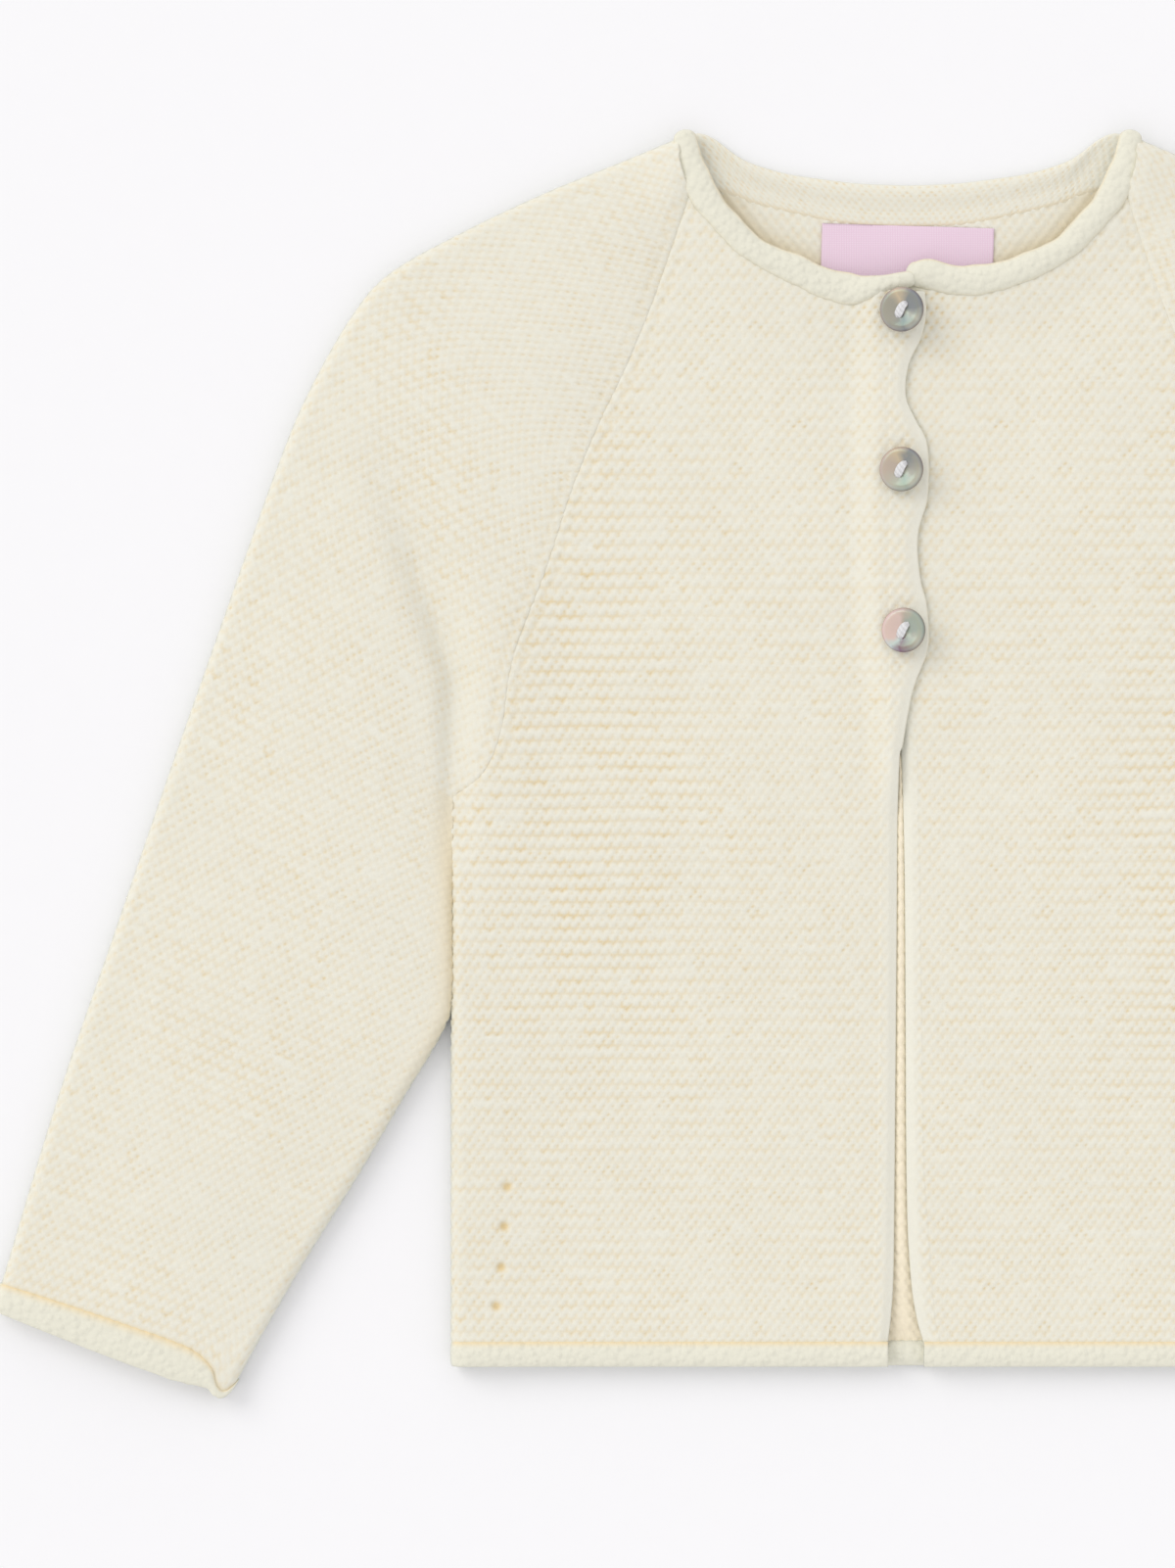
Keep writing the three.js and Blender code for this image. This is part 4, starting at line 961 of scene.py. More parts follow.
def roll_rings(outer, inner, way, length, bulge, inner_bulge=0):
    """Rings across a roll: over its swelling, and back along its plain side."""
    normal = (outer - inner) / np.linalg.norm(outer - inner, axis=1)[:, None]
    turn = np.linspace(0, math.pi, ROLL_STEPS + 1)
    reach = np.multiply.outer((length + ROLL_LAP) / 2, 1 - np.cos(turn)) - ROLL_LAP
    uneven = 1 + 0.06 * np.sin(np.arange(len(outer)) / 17)
    swell = -ROLL_DITCH + np.multiply.outer((ROLL_DITCH + bulge) * uneven, np.sin(turn))
    sink = np.multiply.outer(np.broadcast_to(inner_bulge, len(outer)), np.sin(turn))
    over = outer[:, None] + normal[:, None] * swell[..., None] + way * reach[..., None]
    under = inner[:, None] - normal[:, None] * sink[..., None] + way * reach[..., None]
    over[..., 2] = np.maximum(over[..., 2], 0)
    return np.concatenate([over, under[:, ::-2]], axis=1)


def roll_painted_shade(count):
    """Warm shade painted in the ditch between a panel and its roll, and fainter on the roll's plain side.
    """
    turn = np.linspace(0, 1, ROLL_STEPS + 1)
    warm = 0.75 - 0.75 * smooth_step(turn, 0.08, 0.36)
    ditch = np.concatenate([warm, np.full(ROLL_STEPS // 2 + 1, 0.4)])
    return np.broadcast_to(ditch, (count, len(ditch)))


print("a roll has", roll_painted_shade(1).shape[1], "points round it")


# %% Make the hems
DOWNWARDS = np.array([0, -1, 0])


def make_front_hem(side):
    start = float(unrolled_side(raglan_line, lambda y: front_radius(side, y), np.float64(HEM_Y)))
    u = np.linspace(start, float(outer_edge(side, HEM_Y)), FRONT_HEM_RINGS)
    v = np.full(len(u), HEM_Y, float)
    bulge = ROLL_BULGE * mix(0.3, 1, smooth_step(u, start, start + 6))
    rings = roll_rings(front_place(side, u, v, np.zeros(len(u))), front_place(side, u, v, -WALL),
                       DOWNWARDS, np.full(len(u), HEM_ROLL), bulge)
    return swept(f"knit_hem_{side}", rings, painted_shade=roll_painted_shade(len(u)), mirror=side == "left")


def make_back_hem():
    start = float(back_left(np.float64(HEM_Y)))
    u = np.linspace(start, -start, BACK_HEM_RINGS)
    v = np.full(len(u), HEM_Y, float)
    rings = roll_rings(back_place(u, v, np.zeros(len(u))), back_place(u, v, np.full(len(u), -WALL)),
                       DOWNWARDS, np.full(len(u), HEM_ROLL), np.zeros(len(u)),
                       BACK_HEM_BULGE * smooth_step(-start - np.abs(u), 4, 7))
    return swept("knit_hem_back", rings)


hem = {side: place(make_front_hem(side), f"hem_roll_front_{side}", slot="rolled_knit")
       for side in ("right", "left")}
hem["back"] = place(make_back_hem(), "hem_roll_back", slot="rolled_knit")


# %% Make the cuffs
# Length of a cuff roll, from the sleeve's seam to its fold.
CUFF_SHARE = [0, 0.06, 0.12, 0.18, 0.25, 0.42, 0.6, 0.8, 1]
CUFF_LENGTH = [1.2, 1.9, 6.2, 8.8, 9.9, 9.9, 9.5, 8.6, 7.4]


def make_cuff(side):
    s = sleeve_section(side, np.zeros(1))
    u = np.linspace(-s["lower"][0], s["upper"][0], CUFF_RINGS)
    v = np.zeros(len(u))
    outer = sleeve_place(side, u, v, np.zeros(len(u)))
    inner = sleeve_place(side, u, v, np.full(len(u), -WALL))
    start, across = np.array(SLEEVE_UNDER[0]), np.subtract(SLEEVE_FOLD_LOW[0], SLEEVE_UNDER[0])
    size = np.linalg.norm(across)
    share = np.clip((outer[:, :2] - start) @ across / size**2, 0, 1)
    length = np.interp(share, CUFF_SHARE, CUFF_LENGTH)
    way = np.array([-across[1], across[0], 0]) / size
    rings = roll_rings(outer, inner, way, length, np.full(len(u), 0.85 * ROLL_BULGE))
    return swept(f"knit_cuff_{side}", rings, painted_shade=roll_painted_shade(len(u)), mirror=side == "left")


cuff = {side: place(make_cuff(side), f"cuff_roll_{side}", slot="rolled_knit") for side in ("right", "left")}

# %% Narrow bands along the fronts' edges
# How far a band reaches in over its front, and how high it lies on it.
EDGE_TUCK, EDGE_OVER = 3.0, 0.1
# Way between two rings, and points across a ring's upper face.
EDGE_STEP, EDGE_COLUMNS = 0.6, 24
# The end of a band's section, as shares of its width and depths under its top.
EDGE_TURN = [(0.98, 0.8), (1, 1.2), (1, 1.7), (0.9, WALL), (0.4, WALL), (0, WALL)]


def make_edge(side):
    """A thin cover for a front's edge, with the same stitches, whose end turns down round it."""
    turn = np.array(EDGE_TURN)
    share = np.concatenate([np.linspace(0, 0.95, EDGE_COLUMNS), turn[:, 0]])
    depth = np.concatenate([np.zeros(EDGE_COLUMNS), turn[:, 1]])
    v = np.arange(HEM_Y, FRONT_TOP + 0.5, EDGE_STEP)[:, None]
    u = mix(band_start(side, v) - EDGE_TUCK, outer_edge(side, v), share)
    v = np.broadcast_to(v, u.shape)
    reach = u - u[:, :1]
    p, q, stands, shade = front_pattern(side, u, v)
    over = mix(-0.4, EDGE_OVER, smooth_step(reach, 0, 1.6)) - 0.9 * smooth_step(share, 0.55, 1.05)
    off = np.where(depth > 0, -depth, stands + over)
    points = front_place(side, u.ravel(), v.ravel(), off.ravel()).reshape(*u.shape, 3)
    # Painted shade in the knitting, and on the band's end where it turns down.
    painted_shade = np.maximum(shade, 0.5 * smooth_step(depth, 0.6, 1.5))
    return swept(f"knit_edge_{side}", points, knit=np.stack([p, q], -1), painted_shade=painted_shade,
                 mirror=side == "left")


edge_band = {side: place(make_edge(side), f"front_edge_{side}", slot="rolled_knit")
             for side in ("right", "left")}

# %% Rolled neck edges
# Height of the roll's middle and half of its own height, its drop at the shoulder, and how round its ends
# are.
NECK_ROLL_HEIGHT, NECK_ROLL_HALF_HEIGHT = 6.9, 2.1
NECK_ROLL_END_DROP, NECK_ROLL_END = 1.0, 0.8
NECK_RINGS, NECK_SIDES = 150, 26


def make_neck_roll(side):
    """An oval rope along the neck, with rounded ends."""
    line = along(NECK_ROLL[side], 6)
    tip = np.linspace(0.12, math.pi / 2, 7)[:-1]
    share = np.concatenate([np.zeros(6), np.linspace(0, 1, NECK_RINGS), np.ones(6)])
    size = np.concatenate([np.sin(tip), np.ones(NECK_RINGS), np.sin(tip)[::-1]])
    beyond = np.concatenate([np.cos(tip), np.zeros(NECK_RINGS), -np.cos(tip)[::-1]])
    middle = line(share)
    run = line(np.minimum(share + 0.02, 1))[:, :2] - line(np.maximum(share - 0.02, 0))[:, :2]
    run /= np.linalg.norm(run, axis=1)[:, None]
    half = middle[:, 2]
    lift = 0.55 * overlap_lift(middle[:, 0] + 2, 130) if side == "right" else 0
    height = NECK_ROLL_HEIGHT + lift - NECK_ROLL_END_DROP * smooth_step(share, 0.82, 1)
    centre = middle[:, :2] - run * (beyond * half * NECK_ROLL_END)[:, None]
    tall = np.minimum(NECK_ROLL_HALF_HEIGHT, half * 0.75) * size
    turn = np.arange(NECK_SIDES) / NECK_SIDES * math.tau
    uneven = 1 + 0.035 * np.sin(share * 31 + 1.1) + 0.02 * np.sin(share * 67)
    wide = (half * size * uneven)[:, None] * np.cos(turn)
    x, y = centre[:, :1] - run[:, 1:] * wide, centre[:, 1:] + run[:, :1] * wide
    z = height[:, None] + tall[:, None] * np.sin(turn)
    # Painted warm shade on the roll's lower side, stronger on its outer side.
    outside = mix(0.35, 0.85, smooth_step(-np.cos(turn), -0.3, 0.3))
    painted_shade = np.broadcast_to(outside * (1 - smooth_step(np.sin(turn), 0.05, 0.6)), z.shape)
    return swept(f"knit_neck_{side}", np.stack([x, y, z], -1), painted_shade=painted_shade, mirror=side == "left")


neck_roll = {side: place(make_neck_roll(side), f"neck_roll_{side}", slot="rolled_knit")
             for side in ("right", "left")}

# %% Band at the back of the neck
BAND_ROLL_RISE = 1.3
BAND_STITCH, BAND_RIDGE = 2.3, 2.6
BAND_LENGTH, BAND_WIDTH, BAND_RINGS = 132, 12, 265
# The band's section as rows of its way from the lower to the upper edge, its height, and its share of the
# roll's rise.
BAND_SECTION = [(-0.14, WALL - 0.5, 0), (0.02, WALL + 0.25, 0), (0.2, WALL + 0.25, 0.1),
                (0.4, WALL + 0.1, 0.3), (0.6, WALL, 0.75), (0.8, WALL, 1), (0.95, WALL, 0.6),
                (1, 1.5, 0.2), (0.95, 0.3, 0), (0.85, 0, 0), (0.5, 0, 0), (0, 0, 0)]


def make_neckband():
    low, top = along(BAND_LOW, 6), along(BAND_TOP, 6)
    section = smooth_rows(BAND_SECTION, 5)
    way = np.linspace(-1, 1, BAND_RINGS)
    share = 1 - np.abs(way)
    start, end = low(share), top(share)
    spot = mix(start[:, None], end[:, None], section[None, :, :1])
    rolled = BAND_ROLL_RISE * smooth_step(share, 0.12, 0.3)
    p = np.multiply.outer(way * BAND_LENGTH / 2 / BAND_STITCH, np.ones(len(section)))
    q = np.broadcast_to(section[:, 0] * BAND_WIDTH / BAND_RIDGE, p.shape)
    stands, shade = loops(p, q, 0.12)
    on_top = smooth_step(section[:, 1], 1.6, 2.1)
    z = section[:, 1] + np.multiply.outer(rolled, section[:, 2]) + 0.5 * (stands - 0.8) * on_top
    x = np.where(way[:, None] > 0, -spot[..., 0], spot[..., 0])
    rings = np.stack([x, spot[..., 1], np.maximum(z, 0)], -1)
    # Painted shade in the knitting, and along the seam at the band's lower edge.
    seam = 0.5 * bell(section[:, 0], 0.05) * on_top
    painted_shade = np.maximum(1.2 * shade, seam)
    return swept("knit_neckband", rings, knit=np.stack([p, q], -1), painted_shade=painted_shade)


neckband = place(make_neckband(), "neckband_back", slot="rolled_knit")

# %% [markdown]
# Shell buttons and their thread
#
# The buttons are turned from shell, 12.7 mm across, with a rounded rim, a shallow dish and two holes. The
# disc is a profile swept round its axis, and the holes are cut by a boolean, as a drill does. A thick
# white thread goes from hole to hole, over the bridge between them. Each button's middle comes from its
# CAD node. There it leans, because the thick edge of the buttonhole holds its right side up.

# %% The size of a button
BUTTONS = ("button_top", "button_middle", "button_bottom")
BUTTON_TILT, BUTTON_LIFT = math.radians(17), 0.9
BUTTON_RADIUS, BUTTON_RIM, BUTTON_DOME = 6.35, 2.0, 0.6
HOLE_RADIUS, HOLE_SPACING, HOLE_ANGLE = 0.95, 3.2, math.radians(54)
BUTTON_SIDES = 72
# The disc's section as rows of radius and height, from its underside round the rim to its middle.
BUTTON_PROFILE = [(BUTTON_RADIUS - 3, 0), (BUTTON_RADIUS - 1.4, 0), (BUTTON_RADIUS - 0.3, 0.6),
                  (BUTTON_RADIUS, 1.2), (BUTTON_RADIUS - 0.25, BUTTON_RIM),
                  (BUTTON_RADIUS - 1.1, BUTTON_RIM + BUTTON_DOME),
                  (BUTTON_RADIUS - 2.4, BUTTON_RIM + BUTTON_DOME * 0.7), (2.2, BUTTON_RIM - 0.2),
                  (0.8, BUTTON_RIM - 0.3)]


def middle_of(name):
    """The middle of the underside of a CAD node, in the drawing's millimetres."""
    low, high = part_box(name)
    return np.array([(low[0] + high[0]) / 2, (low[1] + high[1]) / 2, low[2]]) / MM - [0, DOWN, 0]


print(f"buttons {2 * BUTTON_RADIUS} mm across, the top one at", middle_of(BUTTONS[0]).round(1))


# %% Drill and tilt
def drill(mesh, centre):
    """Cuts the two thread holes through a disc."""
    disc = bpy.data.objects.new("disc", mesh)
    bpy.context.scene.collection.objects.link(disc)
    for way in (-0.5, 0.5):
        x = centre[0] + way * HOLE_SPACING * math.cos(HOLE_ANGLE)
        y = centre[1] + way * HOLE_SPACING * math.sin(HOLE_ANGLE) + DOWN
        bpy.ops.mesh.primitive_cylinder_add(vertices=32, radius=HOLE_RADIUS * MM, depth=12 * MM,
                                            location=(x * MM, y * MM, centre[2] * MM))
        bit = bpy.context.object
        cut = disc.modifiers.new("hole", "BOOLEAN")
        cut.object, cut.operation, cut.solver = bit, "DIFFERENCE", "EXACT"
        graph = bpy.context.evaluated_depsgraph_get()
        drilled = bpy.data.meshes.new_from_object(disc.evaluated_get(graph))
        disc.modifiers.clear()
        disc.data = drilled
        bpy.data.objects.remove(bit)
    made = disc.data
    made.name = mesh.name
    bpy.data.objects.remove(disc)
    return made


def lean(mesh, centre):
    """Tilts a button or its thread, so that its right side stands up from the wool."""
    pivot = Vector((centre[0], centre[1] + DOWN, centre[2])) * MM
    raised = Matrix.Translation(pivot + Vector((0, 0, BUTTON_LIFT * MM)))
    mesh.transform(raised @ Matrix.Rotation(-BUTTON_TILT, 4, "Y") @ Matrix.Translation(-pivot))
    return mesh


print("the buttons lean by", round(math.degrees(BUTTON_TILT)), "degrees")


# %% Make the buttons
def make_button(name):
    """A disc whose UV map goes from -1 to 1 across its face, for the shell's colours."""
    centre = middle_of(name)
    profile = smooth_rows(BUTTON_PROFILE, 3)
    turn = np.arange(BUTTON_SIDES) / BUTTON_SIDES * math.tau
    ring = np.stack([np.cos(turn), np.sin(turn)], -1)
    rings = [np.column_stack([centre[0] + r * ring[:, 0], centre[1] + r * ring[:, 1],
                              np.full(BUTTON_SIDES, centre[2] + max(z, 0))]) for r, z in profile]
    face = [ring * r / BUTTON_RADIUS for r, z in profile]
    return lean(drill(swept(f"shell_{name}", rings, knit=face), centre), centre)


buttons = [place(make_button(name), name, slot="shell_button") for name in BUTTONS]


# %% Make the thread
THREAD_RADIUS, THREAD_STRANDS, THREAD_SPACING = 0.36, 5, 0.4
THREAD_RINGS, THREAD_SIDES = 21, 10


def make_thread(name):
    """Strands side by side, each an arch from one hole to the other."""
    centre = middle_of(name)
    way = np.array([math.cos(HOLE_ANGLE), math.sin(HOLE_ANGLE)])
    t = np.linspace(-1, 1, THREAD_RINGS)
    turn = np.arange(THREAD_SIDES) / THREAD_SIDES * math.tau
    strands = []
    for k in range(THREAD_STRANDS):
        aside = k - (THREAD_STRANDS - 1) / 2
        reach = t * (0.5 * HOLE_SPACING + 1.2 - 0.12 * abs(aside))
        high = BUTTON_RIM - 1.0 + 1.6 * (1 - np.abs(t) ** 5) - 0.12 * abs(aside)
        sideways = aside * THREAD_SPACING * (1 - 0.45 * t**4) + 0.22 * np.sin(2.5 * t + 0.3 * k)
        spot = centre[:2] + np.outer(reach, way) + np.outer(sideways, [-way[1], way[0]])
        run = np.gradient(np.column_stack([reach, high]), axis=0)
        run /= np.linalg.norm(run, axis=1)[:, None]
        across = THREAD_RADIUS * np.cos(turn)
        lifted = THREAD_RADIUS * np.sin(turn)
        x = spot[:, :1] - way[1] * across - run[:, 1:] * lifted * way[0]
        y = spot[:, 1:] + way[0] * across - run[:, 1:] * lifted * way[1]
        z = centre[2] + high[:, None] + run[:, :1] * lifted
        strands.append(swept(f"strand_{name}", np.stack([x, y, z], -1)))
    joined = bmesh.new()
    for strand in strands:
        joined.from_mesh(strand)
    mesh = bpy.data.meshes.new(f"thread_{name}")
    joined.to_mesh(mesh)
    joined.free()
    mesh.shade_smooth()
    return lean(mesh, centre)


threads = [place(make_thread(name)) for name in BUTTONS]

# %% [markdown]
# The label
#
# A strip of woven satin is sewn inside the back of the neck. It is a thin closed wall with a slight wave,
# which reads as ribbon, where a flat card would not.

# %% Make the label
LABEL_X, LABEL_TOP, LABEL_WIDTH, LABEL_HEIGHT = 0.3, 152.4, 48.9, 18
# Height over the back's plain inner face, clear of its stitches, and thickness.
LABEL_CLEAR, LABEL_THICK = 0.45, 0.35
LABEL_TILT = math.radians(-1.7)
LABEL_COLUMNS, LABEL_ROWS = 90, 33


def make_label():
    across = np.linspace(-0.5, 0.5, LABEL_COLUMNS)
    down = np.linspace(0, 1, LABEL_ROWS)
    a, b = np.meshgrid(across * LABEL_WIDTH, down * LABEL_HEIGHT)
    x = LABEL_X + a * math.cos(LABEL_TILT) + b * math.sin(LABEL_TILT)
    y = LABEL_TOP + a * math.sin(LABEL_TILT) - b * math.cos(LABEL_TILT)
    wave = 0.12 * np.sin(a / 5 + 0.4) + 0.08 * np.sin(b / 3 + a / 9)
    low = WALL + LABEL_CLEAR + wave
    top = np.stack([x, y, low + LABEL_THICK], -1)
    bottom = np.stack([x, y, low], -1)
    rings = np.concatenate([top, bottom[:, ::-1]], axis=1)
    knit = np.concatenate([np.stack([a, b], -1), np.stack([a, b], -1)[:, ::-1]], axis=1) / STITCH
    return swept("satin_label", rings, knit=knit)


label = place(make_label(), "label", slot="satin_label")

# %% [markdown]
# Materials
#
# Each material starts from what the thing is made of. One function turns a colour that is written as on
# screen into the linear numbers that light is computed with. Another adds a node, sets its values and
# links what feeds it. Pattern scales are real: a noise of 0.5 mm is written as one over 0.0005. Patterns
# made by nodes stay sharp at any distance, and need no picture file.

# %% Helpers for materials
def srgb(text):
    """Linear numbers for a colour that is written as on screen."""
    parts = [int(text[k:k + 2], 16) / 255 for k in (1, 3, 5)]
    return (*[c / 12.92 if c <= 0.04045 else ((c + 0.055) / 1.055) ** 2.4 for c in parts], 1)


def add(tree, kind, inputs=None, **settings):
    """Adds a node. An input is a value, or the socket that feeds it."""
    made = tree.nodes.new(f"ShaderNode{kind}")
    for name, value in settings.items():
        setattr(made, name, value)
    for name, value in (inputs or {}).items():
        if isinstance(value, bpy.types.NodeSocket):
            tree.links.new(value, made.inputs[name])
        else:
            made.inputs[name].default_value = value
    return made


def new_material(name):
    material = bpy.data.materials.new(name)
    material.use_nodes = True
    tree = material.node_tree
    tree.nodes.clear()
    return material, tree


def finish_material(tree, inputs):
    shader = add(tree, "BsdfPrincipled", inputs)
    add(tree, "OutputMaterial", {"Surface": shader.outputs[0]})


print("cream in linear numbers:", [round(c, 2) for c in srgb("#ECEADB")])


# %% Ramps and scales
def ramp(tree, value, stops):
    """Colours by value, from rows of a value and the colour there."""
    made = add(tree, "ValToRGB", {"Fac": value})
    elements = made.color_ramp.elements
    while len(elements) < len(stops):
        elements.new(0.5)
    for element, (where, colour) in zip(elements, stops):
        element.position = where
        element.color = srgb(colour)
    return made.outputs[0]


def per_mm(size):
    """The scale of a texture whose pattern is so many millimetres wide."""
    return 1 / (size * MM)


print("the scale of a pattern 2 mm wide:", per_mm(2))

# %% [markdown]
# Cream wool yarn
#
# Soft-spun wool is matt, and light that enters it comes out again warmer. So the loops are a pale cream,
# and the furrows between them, where light bounces from yarn to yarn, are painted a warmer, deeper cream
# as shade. Fibres stand off the surface: sheen gives their pale edge, and a noise in the bump breaks up the
# light. Real fibres are finer than the render shows, so that noise is drawn at 0.45 mm.
#
# Sides that turn down see less of the warm cloth round them, so they are painted greyer, as shade. The mesh
# tells the material where to paint shade, in furrows, creases, ditches and holes, through the attribute
# that paint kept. A curled edge has small bumps in place of ridges, and the slit between the fronts is
# painted lighter, as light that comes through the wool.

# %% Wool
WOOL = {"Roughness": 0.92, "IOR": 1.45, "Specular IOR Level": 0.2, "Sheen Weight": 0.12,
        "Sheen Roughness": 0.45}
# Painted grey shade for sides that turn down.
TURNED_DOWN_SHADE = "#D7D9CD"
# Where the slit's painted glow starts and is full, in millimetres: along y from above, and up from the
# surface.
SLIT_FROM_Y, SLIT_FULL_Y, SLIT_FROM_Z, SLIT_FULL_Z = 40, 10, 1.2, 2


def painted_slit_glow(tree, spot, yarn, slit_glow_colour):
    """A painted lighter colour inside the slit, on the raised loops, as light through the wool."""
    axes = add(tree, "SeparateXYZ", {0: spot}).outputs
    lower = add(tree, "MapRange", {"Value": axes["Y"], "From Min": SLIT_FROM_Y * MM,
                                   "From Max": SLIT_FULL_Y * MM})
    raised = add(tree, "MapRange", {"Value": axes["Z"], "From Min": SLIT_FROM_Z * MM,
                                    "From Max": SLIT_FULL_Z * MM})
    there = add(tree, "Math", {0: lower.outputs[0], 1: raised.outputs[0]}, operation="MULTIPLY")
    return add(tree, "Mix", {"Factor": there.outputs[0], "A": yarn, "B": srgb(slit_glow_colour)},
               data_type="RGBA").outputs["Result"]


def curled_bumps(tree, spot, surface):
    """The loops of a curled edge, seen from their side, as bumps about 2 mm wide."""
    bumps = add(tree, "TexVoronoi", {"Vector": spot, "Scale": per_mm(2.0), "Smoothness": 0.6},
                feature="SMOOTH_F1")
    return add(tree, "Bump", {"Height": bumps.outputs[0], "Strength": 0.8, "Distance": 0.7 * MM,
                              "Normal": surface}, invert=True).outputs[0]


print("the slit's colour starts", SLIT_FROM_Z, "mm over the surface")


# %% Wool materials
def wool(name, loop_colour, painted_shade_colour, curled=False, slit_glow_colour=None):
    """Wool with painted shade, the small bumps of a curled edge, or a painted glow inside the slit."""
    material, tree = new_material(name)
    spot = add(tree, "TexCoord").outputs["Object"]
    # The painted shade on the mesh mixes in the second colour.
    depth = add(tree, "Attribute", attribute_name="painted_shade").outputs["Fac"]
    yarn = add(tree, "Mix", {"Factor": depth, "A": srgb(loop_colour), "B": srgb(painted_shade_colour)},
               data_type="RGBA").outputs["Result"]
    if slit_glow_colour:
        yarn = painted_slit_glow(tree, spot, yarn, slit_glow_colour)
    # Sides that turn down are painted greyer, as shade.
    facing = add(tree, "SeparateXYZ", {0: add(tree, "NewGeometry").outputs["Normal"]}).outputs["Z"]
    turned = add(tree, "MapRange", {"Value": facing, "From Min": 0.6, "From Max": 0.1})
    yarn = add(tree, "Mix", {"Factor": turned.outputs[0], "A": yarn, "B": srgb(TURNED_DOWN_SHADE)},
               data_type="RGBA").outputs["Result"]
    cloudy = add(tree, "TexNoise", {"Vector": spot, "Scale": per_mm(26), "Detail": 3.0})
    shade = add(tree, "MapRange", {"Value": cloudy.outputs[0], "To Min": 0.975, "To Max": 1.02})
    speck = add(tree, "TexNoise", {"Vector": spot, "Scale": per_mm(1.6), "Detail": 2.0})
    fleck = add(tree, "MapRange", {"Value": speck.outputs[0], "To Min": 0.965, "To Max": 1.035})
    both = add(tree, "Math", {0: shade.outputs[0], 1: fleck.outputs[0]}, operation="MULTIPLY")
    colour = add(tree, "VectorMath", {0: yarn, "Scale": both.outputs[0]}, operation="SCALE")
    fibre = add(tree, "TexNoise", {"Vector": spot, "Scale": per_mm(0.45), "Detail": 4.0,
                                   "Roughness": 0.7})
    surface = add(tree, "Bump", {"Height": fibre.outputs[0], "Strength": 0.7, "Distance": 0.22 * MM})
    surface = surface.outputs[0]
    if curled:
        surface = curled_bumps(tree, spot, surface)
    finish_material(tree, {"Base Color": colour.outputs[0], "Normal": surface, **WOOL})
    return material


# Each wool's second colour is its painted shade, and the wool inside the garment also has a painted glow in
# the slit.
garter_wool = wool("wool yarn in garter stitch", "#ECEADB", "#E7D3A6")
inside_wool_with_slit_glow = wool("wool yarn inside the garment", "#ECEADB", "#E7D2A6", slit_glow_colour="#FBF0D6")
plain_wool = wool("wool yarn in a curled edge", "#EAE8D6", "#F1D8A4", curled=True)
print("wool:", len(garter_wool.node_tree.nodes), "nodes in the garter stitch")

# %% [markdown]
# Mother-of-pearl shell
#
# Shell grows in thin layers. A turned button cuts across them, so its face shows clouds of grey, brown and
# a little pink and green, under a hard polish. Every button comes from another place of the shell. So each
# has its own order of tones round its face, and a noise bends the borders between them. A second ramp
# paints shade on the rounded rim, where the light comes in at a flat angle, and a lighter ring inside it.
# A coat gives the polish, and a thin film on the surface gives the play of colour in the highlights.

# %% Shell
# Tones of the shell, and the order in which they come round the face of each button, in even steps from
# its left edge by way of the bottom.
SHELL_TONES = {"smoke": "#8B888A", "stone": "#A69E94", "pale": "#BDB8AB", "sand": "#CFBA9F",
               "fawn": "#C3B0A4", "rose": "#DFC3BC", "ice": "#CAD5D2", "sage": "#A6AB9F",
               "plum": "#8B6478"}
SHELL_FACES = ["stone stone stone smoke pale smoke smoke sand",
               "fawn fawn pale sage pale stone smoke sand",
               "rose rose rose ice plum stone pale sage sage sage fawn rose"]
# Painted shade from the middle of the face to its rim: a lighter ring, then a darker rim.
SHELL_RIM_SHADE = [(0.0, "#FFFFFF"), (0.8, "#F6F4F0"), (0.9, "#FFFFFF"), (0.97, "#E0DCD4"), (1.0, "#A8A298")]


def pearl_shell(name, order):
    """Shell whose tones come round its face in a given order."""
    tones = order.split()
    colours = [(k / len(tones), SHELL_TONES[tone]) for k, tone in enumerate([*tones, tones[0]])]
    material, tree = new_material(f"polished mother-of-pearl shell, {name}")
    spot = add(tree, "TexCoord").outputs["Object"]
    face = add(tree, "UVMap", uv_map="knit").outputs[0]
    cloudy = add(tree, "TexNoise", {"Vector": spot, "Scale": per_mm(4), "Detail": 2.0}).outputs[0]
    around = add(tree, "TexGradient", {"Vector": face}, gradient_type="RADIAL").outputs[1]
    bent = add(tree, "Math", {0: cloudy, 1: 0.2, 2: around}, operation="MULTIPLY_ADD").outputs[0]
    turned = add(tree, "Math", {0: bent, 1: 1.0}, operation="FRACT").outputs[0]
    tint = ramp(tree, turned, colours)
    from_middle = add(tree, "VectorMath", {0: face}, operation="LENGTH").outputs["Value"]
    # Painted shade on the rim, with a lighter ring inside it.
    rim = ramp(tree, from_middle, SHELL_RIM_SHADE)
    tint = add(tree, "Mix", {"Factor": 1.0, "A": tint, "B": rim}, data_type="RGBA", blend_type="MULTIPLY")
    grain = add(tree, "TexNoise", {"Vector": spot, "Scale": per_mm(0.8), "Detail": 2.0})
    ripple = add(tree, "Bump", {"Height": grain.outputs[0], "Strength": 0.25, "Distance": 0.05 * MM})
    finish_material(tree, {"Base Color": tint.outputs["Result"], "Normal": ripple.outputs[0],
                           "Roughness": 0.25, "IOR": 1.56, "Coat Weight": 0.6, "Coat Roughness": 0.06,
                           "Thin Film Thickness": 380.0, "Thin Film IOR": 1.4})
    return material


shells = [pearl_shell(*pair) for pair in zip(BUTTONS, SHELL_FACES)]
print(len(shells), "shells of", len(SHELL_TONES), "tones")

# %% [markdown]
# Thread and ribbon
#
# Sewing thread is spun polyester, bright white and almost matt, with a twist that shows as fine slanting
# lines. The ribbon is woven satin: it has a soft gloss, because its threads lie long and close. Both
# patterns are waves, which is what a twist and a weave are. The ribbon's threads are finer than the render
# shows, so they are drawn at about 2 mm.

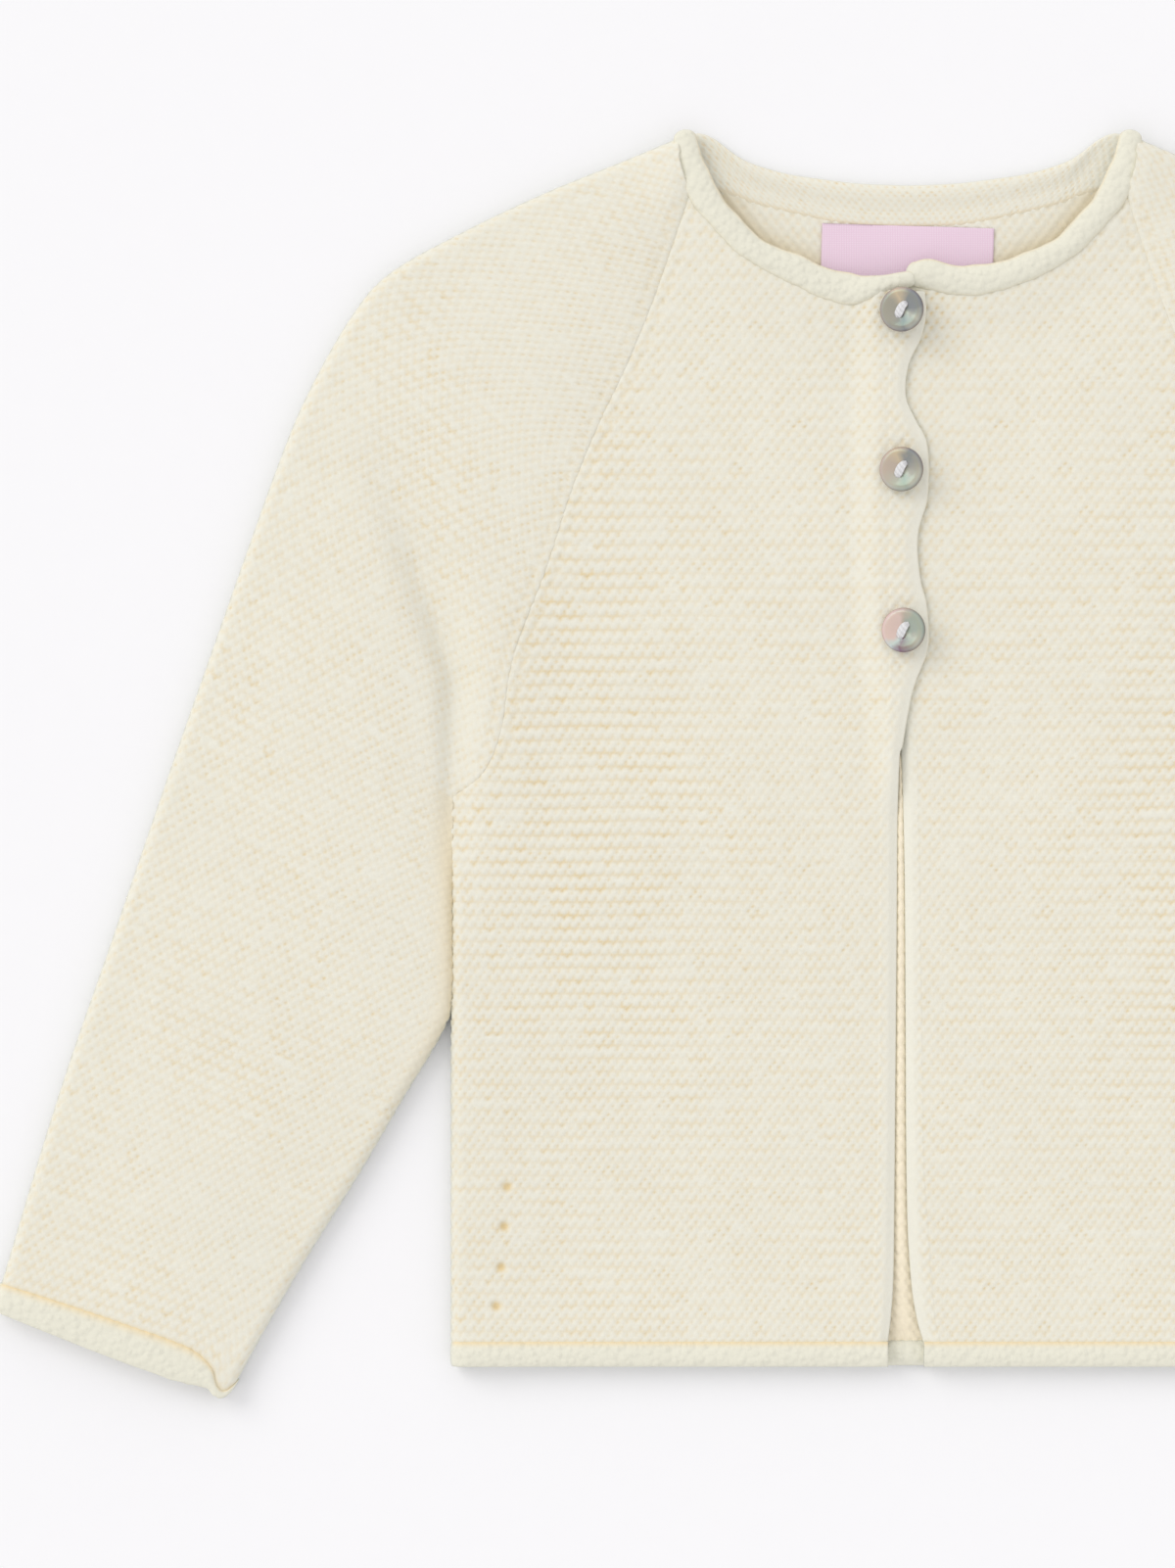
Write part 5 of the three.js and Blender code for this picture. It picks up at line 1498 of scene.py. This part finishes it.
# %% Thread and ribbon
def spun_thread():
    material, tree = new_material("white polyester thread")
    spot = add(tree, "TexCoord").outputs["Object"]
    twist = add(tree, "TexWave", {"Vector": spot, "Scale": per_mm(3), "Distortion": 1.0},
                bands_direction="DIAGONAL")
    groove = add(tree, "Bump", {"Height": twist.outputs[0], "Strength": 0.6, "Distance": 0.08 * MM})
    # The twist's grooves are painted darker, as shade.
    colour = add(tree, "MapRange", {"Value": twist.outputs[0], "To Min": 0.66, "To Max": 0.78})
    finish_material(tree, {"Base Color": colour.outputs[0], "Normal": groove.outputs[0],
                           "Roughness": 0.6})
    return material


def satin_ribbon():
    material, tree = new_material("pink woven satin")
    spot = add(tree, "TexCoord").outputs["Object"]
    weave = add(tree, "TexWave", {"Vector": spot, "Scale": per_mm(1.6), "Distortion": 0.6},
                bands_direction="Y")
    threads_up = add(tree, "TexWave", {"Vector": spot, "Scale": per_mm(2.2), "Distortion": 0.4},
                     bands_direction="X")
    crossing = add(tree, "Math", {0: weave.outputs[1], 1: threads_up.outputs[1]}, operation="MULTIPLY")
    # The weave is painted lighter where its threads stand high and darker between them, as shade.
    tone = add(tree, "Mix", {"Factor": crossing.outputs[0], "A": srgb("#E9CCDD"), "B": srgb("#EFDCE7")},
               data_type="RGBA")
    relief = add(tree, "Bump", {"Height": crossing.outputs[0], "Strength": 0.5, "Distance": 0.06 * MM})
    finish_material(tree, {"Base Color": tone.outputs["Result"], "Normal": relief.outputs[0],
                           "Roughness": 0.4, "Sheen Weight": 0.2, "Anisotropic": 0.4})
    return material


twisted_thread, satin = spun_thread(), satin_ribbon()
print("finishes:", twisted_thread.name, "and", satin.name)

# %% Give each piece its material
for pieces, finish in (([*front.values(), *sleeve.values(), *edge_band.values()], garter_wool),
                       ([back, neckband], inside_wool_with_slit_glow),
                       ([*hem.values(), *cuff.values(), *neck_roll.values()], plain_wool),
                       *[([button], shell) for button, shell in zip(buttons, shells)],
                       (threads, twisted_thread), ([label], satin)):
    for piece in pieces:
        piece.data.materials.clear()
        piece.data.materials.append(finish)
    print(finish.name, "on", len(pieces), "pieces")

# %% [markdown]
# What the cloth was cut to
#
# The flat size that each panel was knitted to is not declared here. A mesh alone can't say it, because a
# piece that is stretched to fit looks the same as one that was cut to size.

print("the panels' flat sizes are not declared")

# %% [markdown]
# Surface, light and camera
#
# The photograph is taken from straight above, on white. A wide soft lamp at the upper left gives the
# faint shadow to the lower right, and an even white sky fills everything else, as in a light tent. The
# lens is worked out, so that the picture has its real height where the cloth lies.

# %% Floor
FLOOR_SIZE = 6000
# The paper lies a little lower than the wool, so that the two faces don't share a place.
FLOOR_DROP = 0.2


def make_floor():
    half, z = FLOOR_SIZE / 2 * MM, -FLOOR_DROP * MM
    mesh = bpy.data.meshes.new("floor")
    mesh.from_pydata([(-half, -half, z), (half, -half, z), (half, half, z), (-half, half, z)],
                     [], [(0, 1, 2, 3)])
    floor = bpy.data.objects.new("floor", mesh)
    bpy.context.scene.collection.objects.link(floor)
    material, tree = new_material("matt white paper")
    spot = add(tree, "TexCoord").outputs["Object"]
    grain = add(tree, "TexNoise", {"Vector": spot, "Scale": per_mm(8), "Detail": 2.0})
    tone = add(tree, "MapRange", {"Value": grain.outputs[0], "To Min": 0.925, "To Max": 0.935})
    finish_material(tree, {"Base Color": tone.outputs[0], "Roughness": 0.95,
                           "Specular IOR Level": 0.1})
    mesh.materials.append(material)
    return floor


floor = make_floor()
print(f"{floor.name}: {FLOOR_SIZE * MM} m wide")

# %% Light
SKY, SKY_COLOUR = 0.865, (0.995, 0.985, 1.01, 1)
SUN, SUN_COLOUR = 0.86, (1.0, 0.985, 0.96)
SUN_FROM, SUN_SPREAD = (-0.72, 0.55, 0.72), 38
world = bpy.data.worlds.new("soft white tent")
world.use_nodes = True
sky = world.node_tree.nodes["Background"].inputs
sky["Color"].default_value = SKY_COLOUR
sky["Strength"].default_value = SKY
bpy.context.scene.world = world

lamp = bpy.data.lights.new("wide soft lamp", "SUN")
lamp.energy = SUN
lamp.angle = math.radians(SUN_SPREAD)
lamp.color = SUN_COLOUR
lamp_object = bpy.data.objects.new("wide soft lamp", lamp)
lamp_object.rotation_euler = Vector(SUN_FROM).to_track_quat("Z", "Y").to_euler()
bpy.context.scene.collection.objects.link(lamp_object)

view = bpy.context.scene.view_settings
view.view_transform = "Standard"
view.look = "None"
print("sky", SKY, "lamp", SUN)

# %% Camera
# Middle and height of the picture, height of the camera and of the cloth that it looks at.
VIEW_X, VIEW_Y, VIEW_HEIGHT = -90.8, -6.1, 444.7
CAMERA_HEIGHT, CLOTH_HEIGHT = 1600, 5
camera = bpy.data.cameras.new("camera")
camera.sensor_width = 36
camera.lens = camera.sensor_width * (CAMERA_HEIGHT - CLOTH_HEIGHT) / VIEW_HEIGHT
camera_object = bpy.data.objects.new("camera", camera)
camera_object.location = (VIEW_X * MM, (VIEW_Y + DOWN) * MM, CAMERA_HEIGHT * MM)
bpy.context.scene.collection.objects.link(camera_object)
bpy.context.scene.camera = camera_object
print(f"lens {camera.lens:.1f} mm")
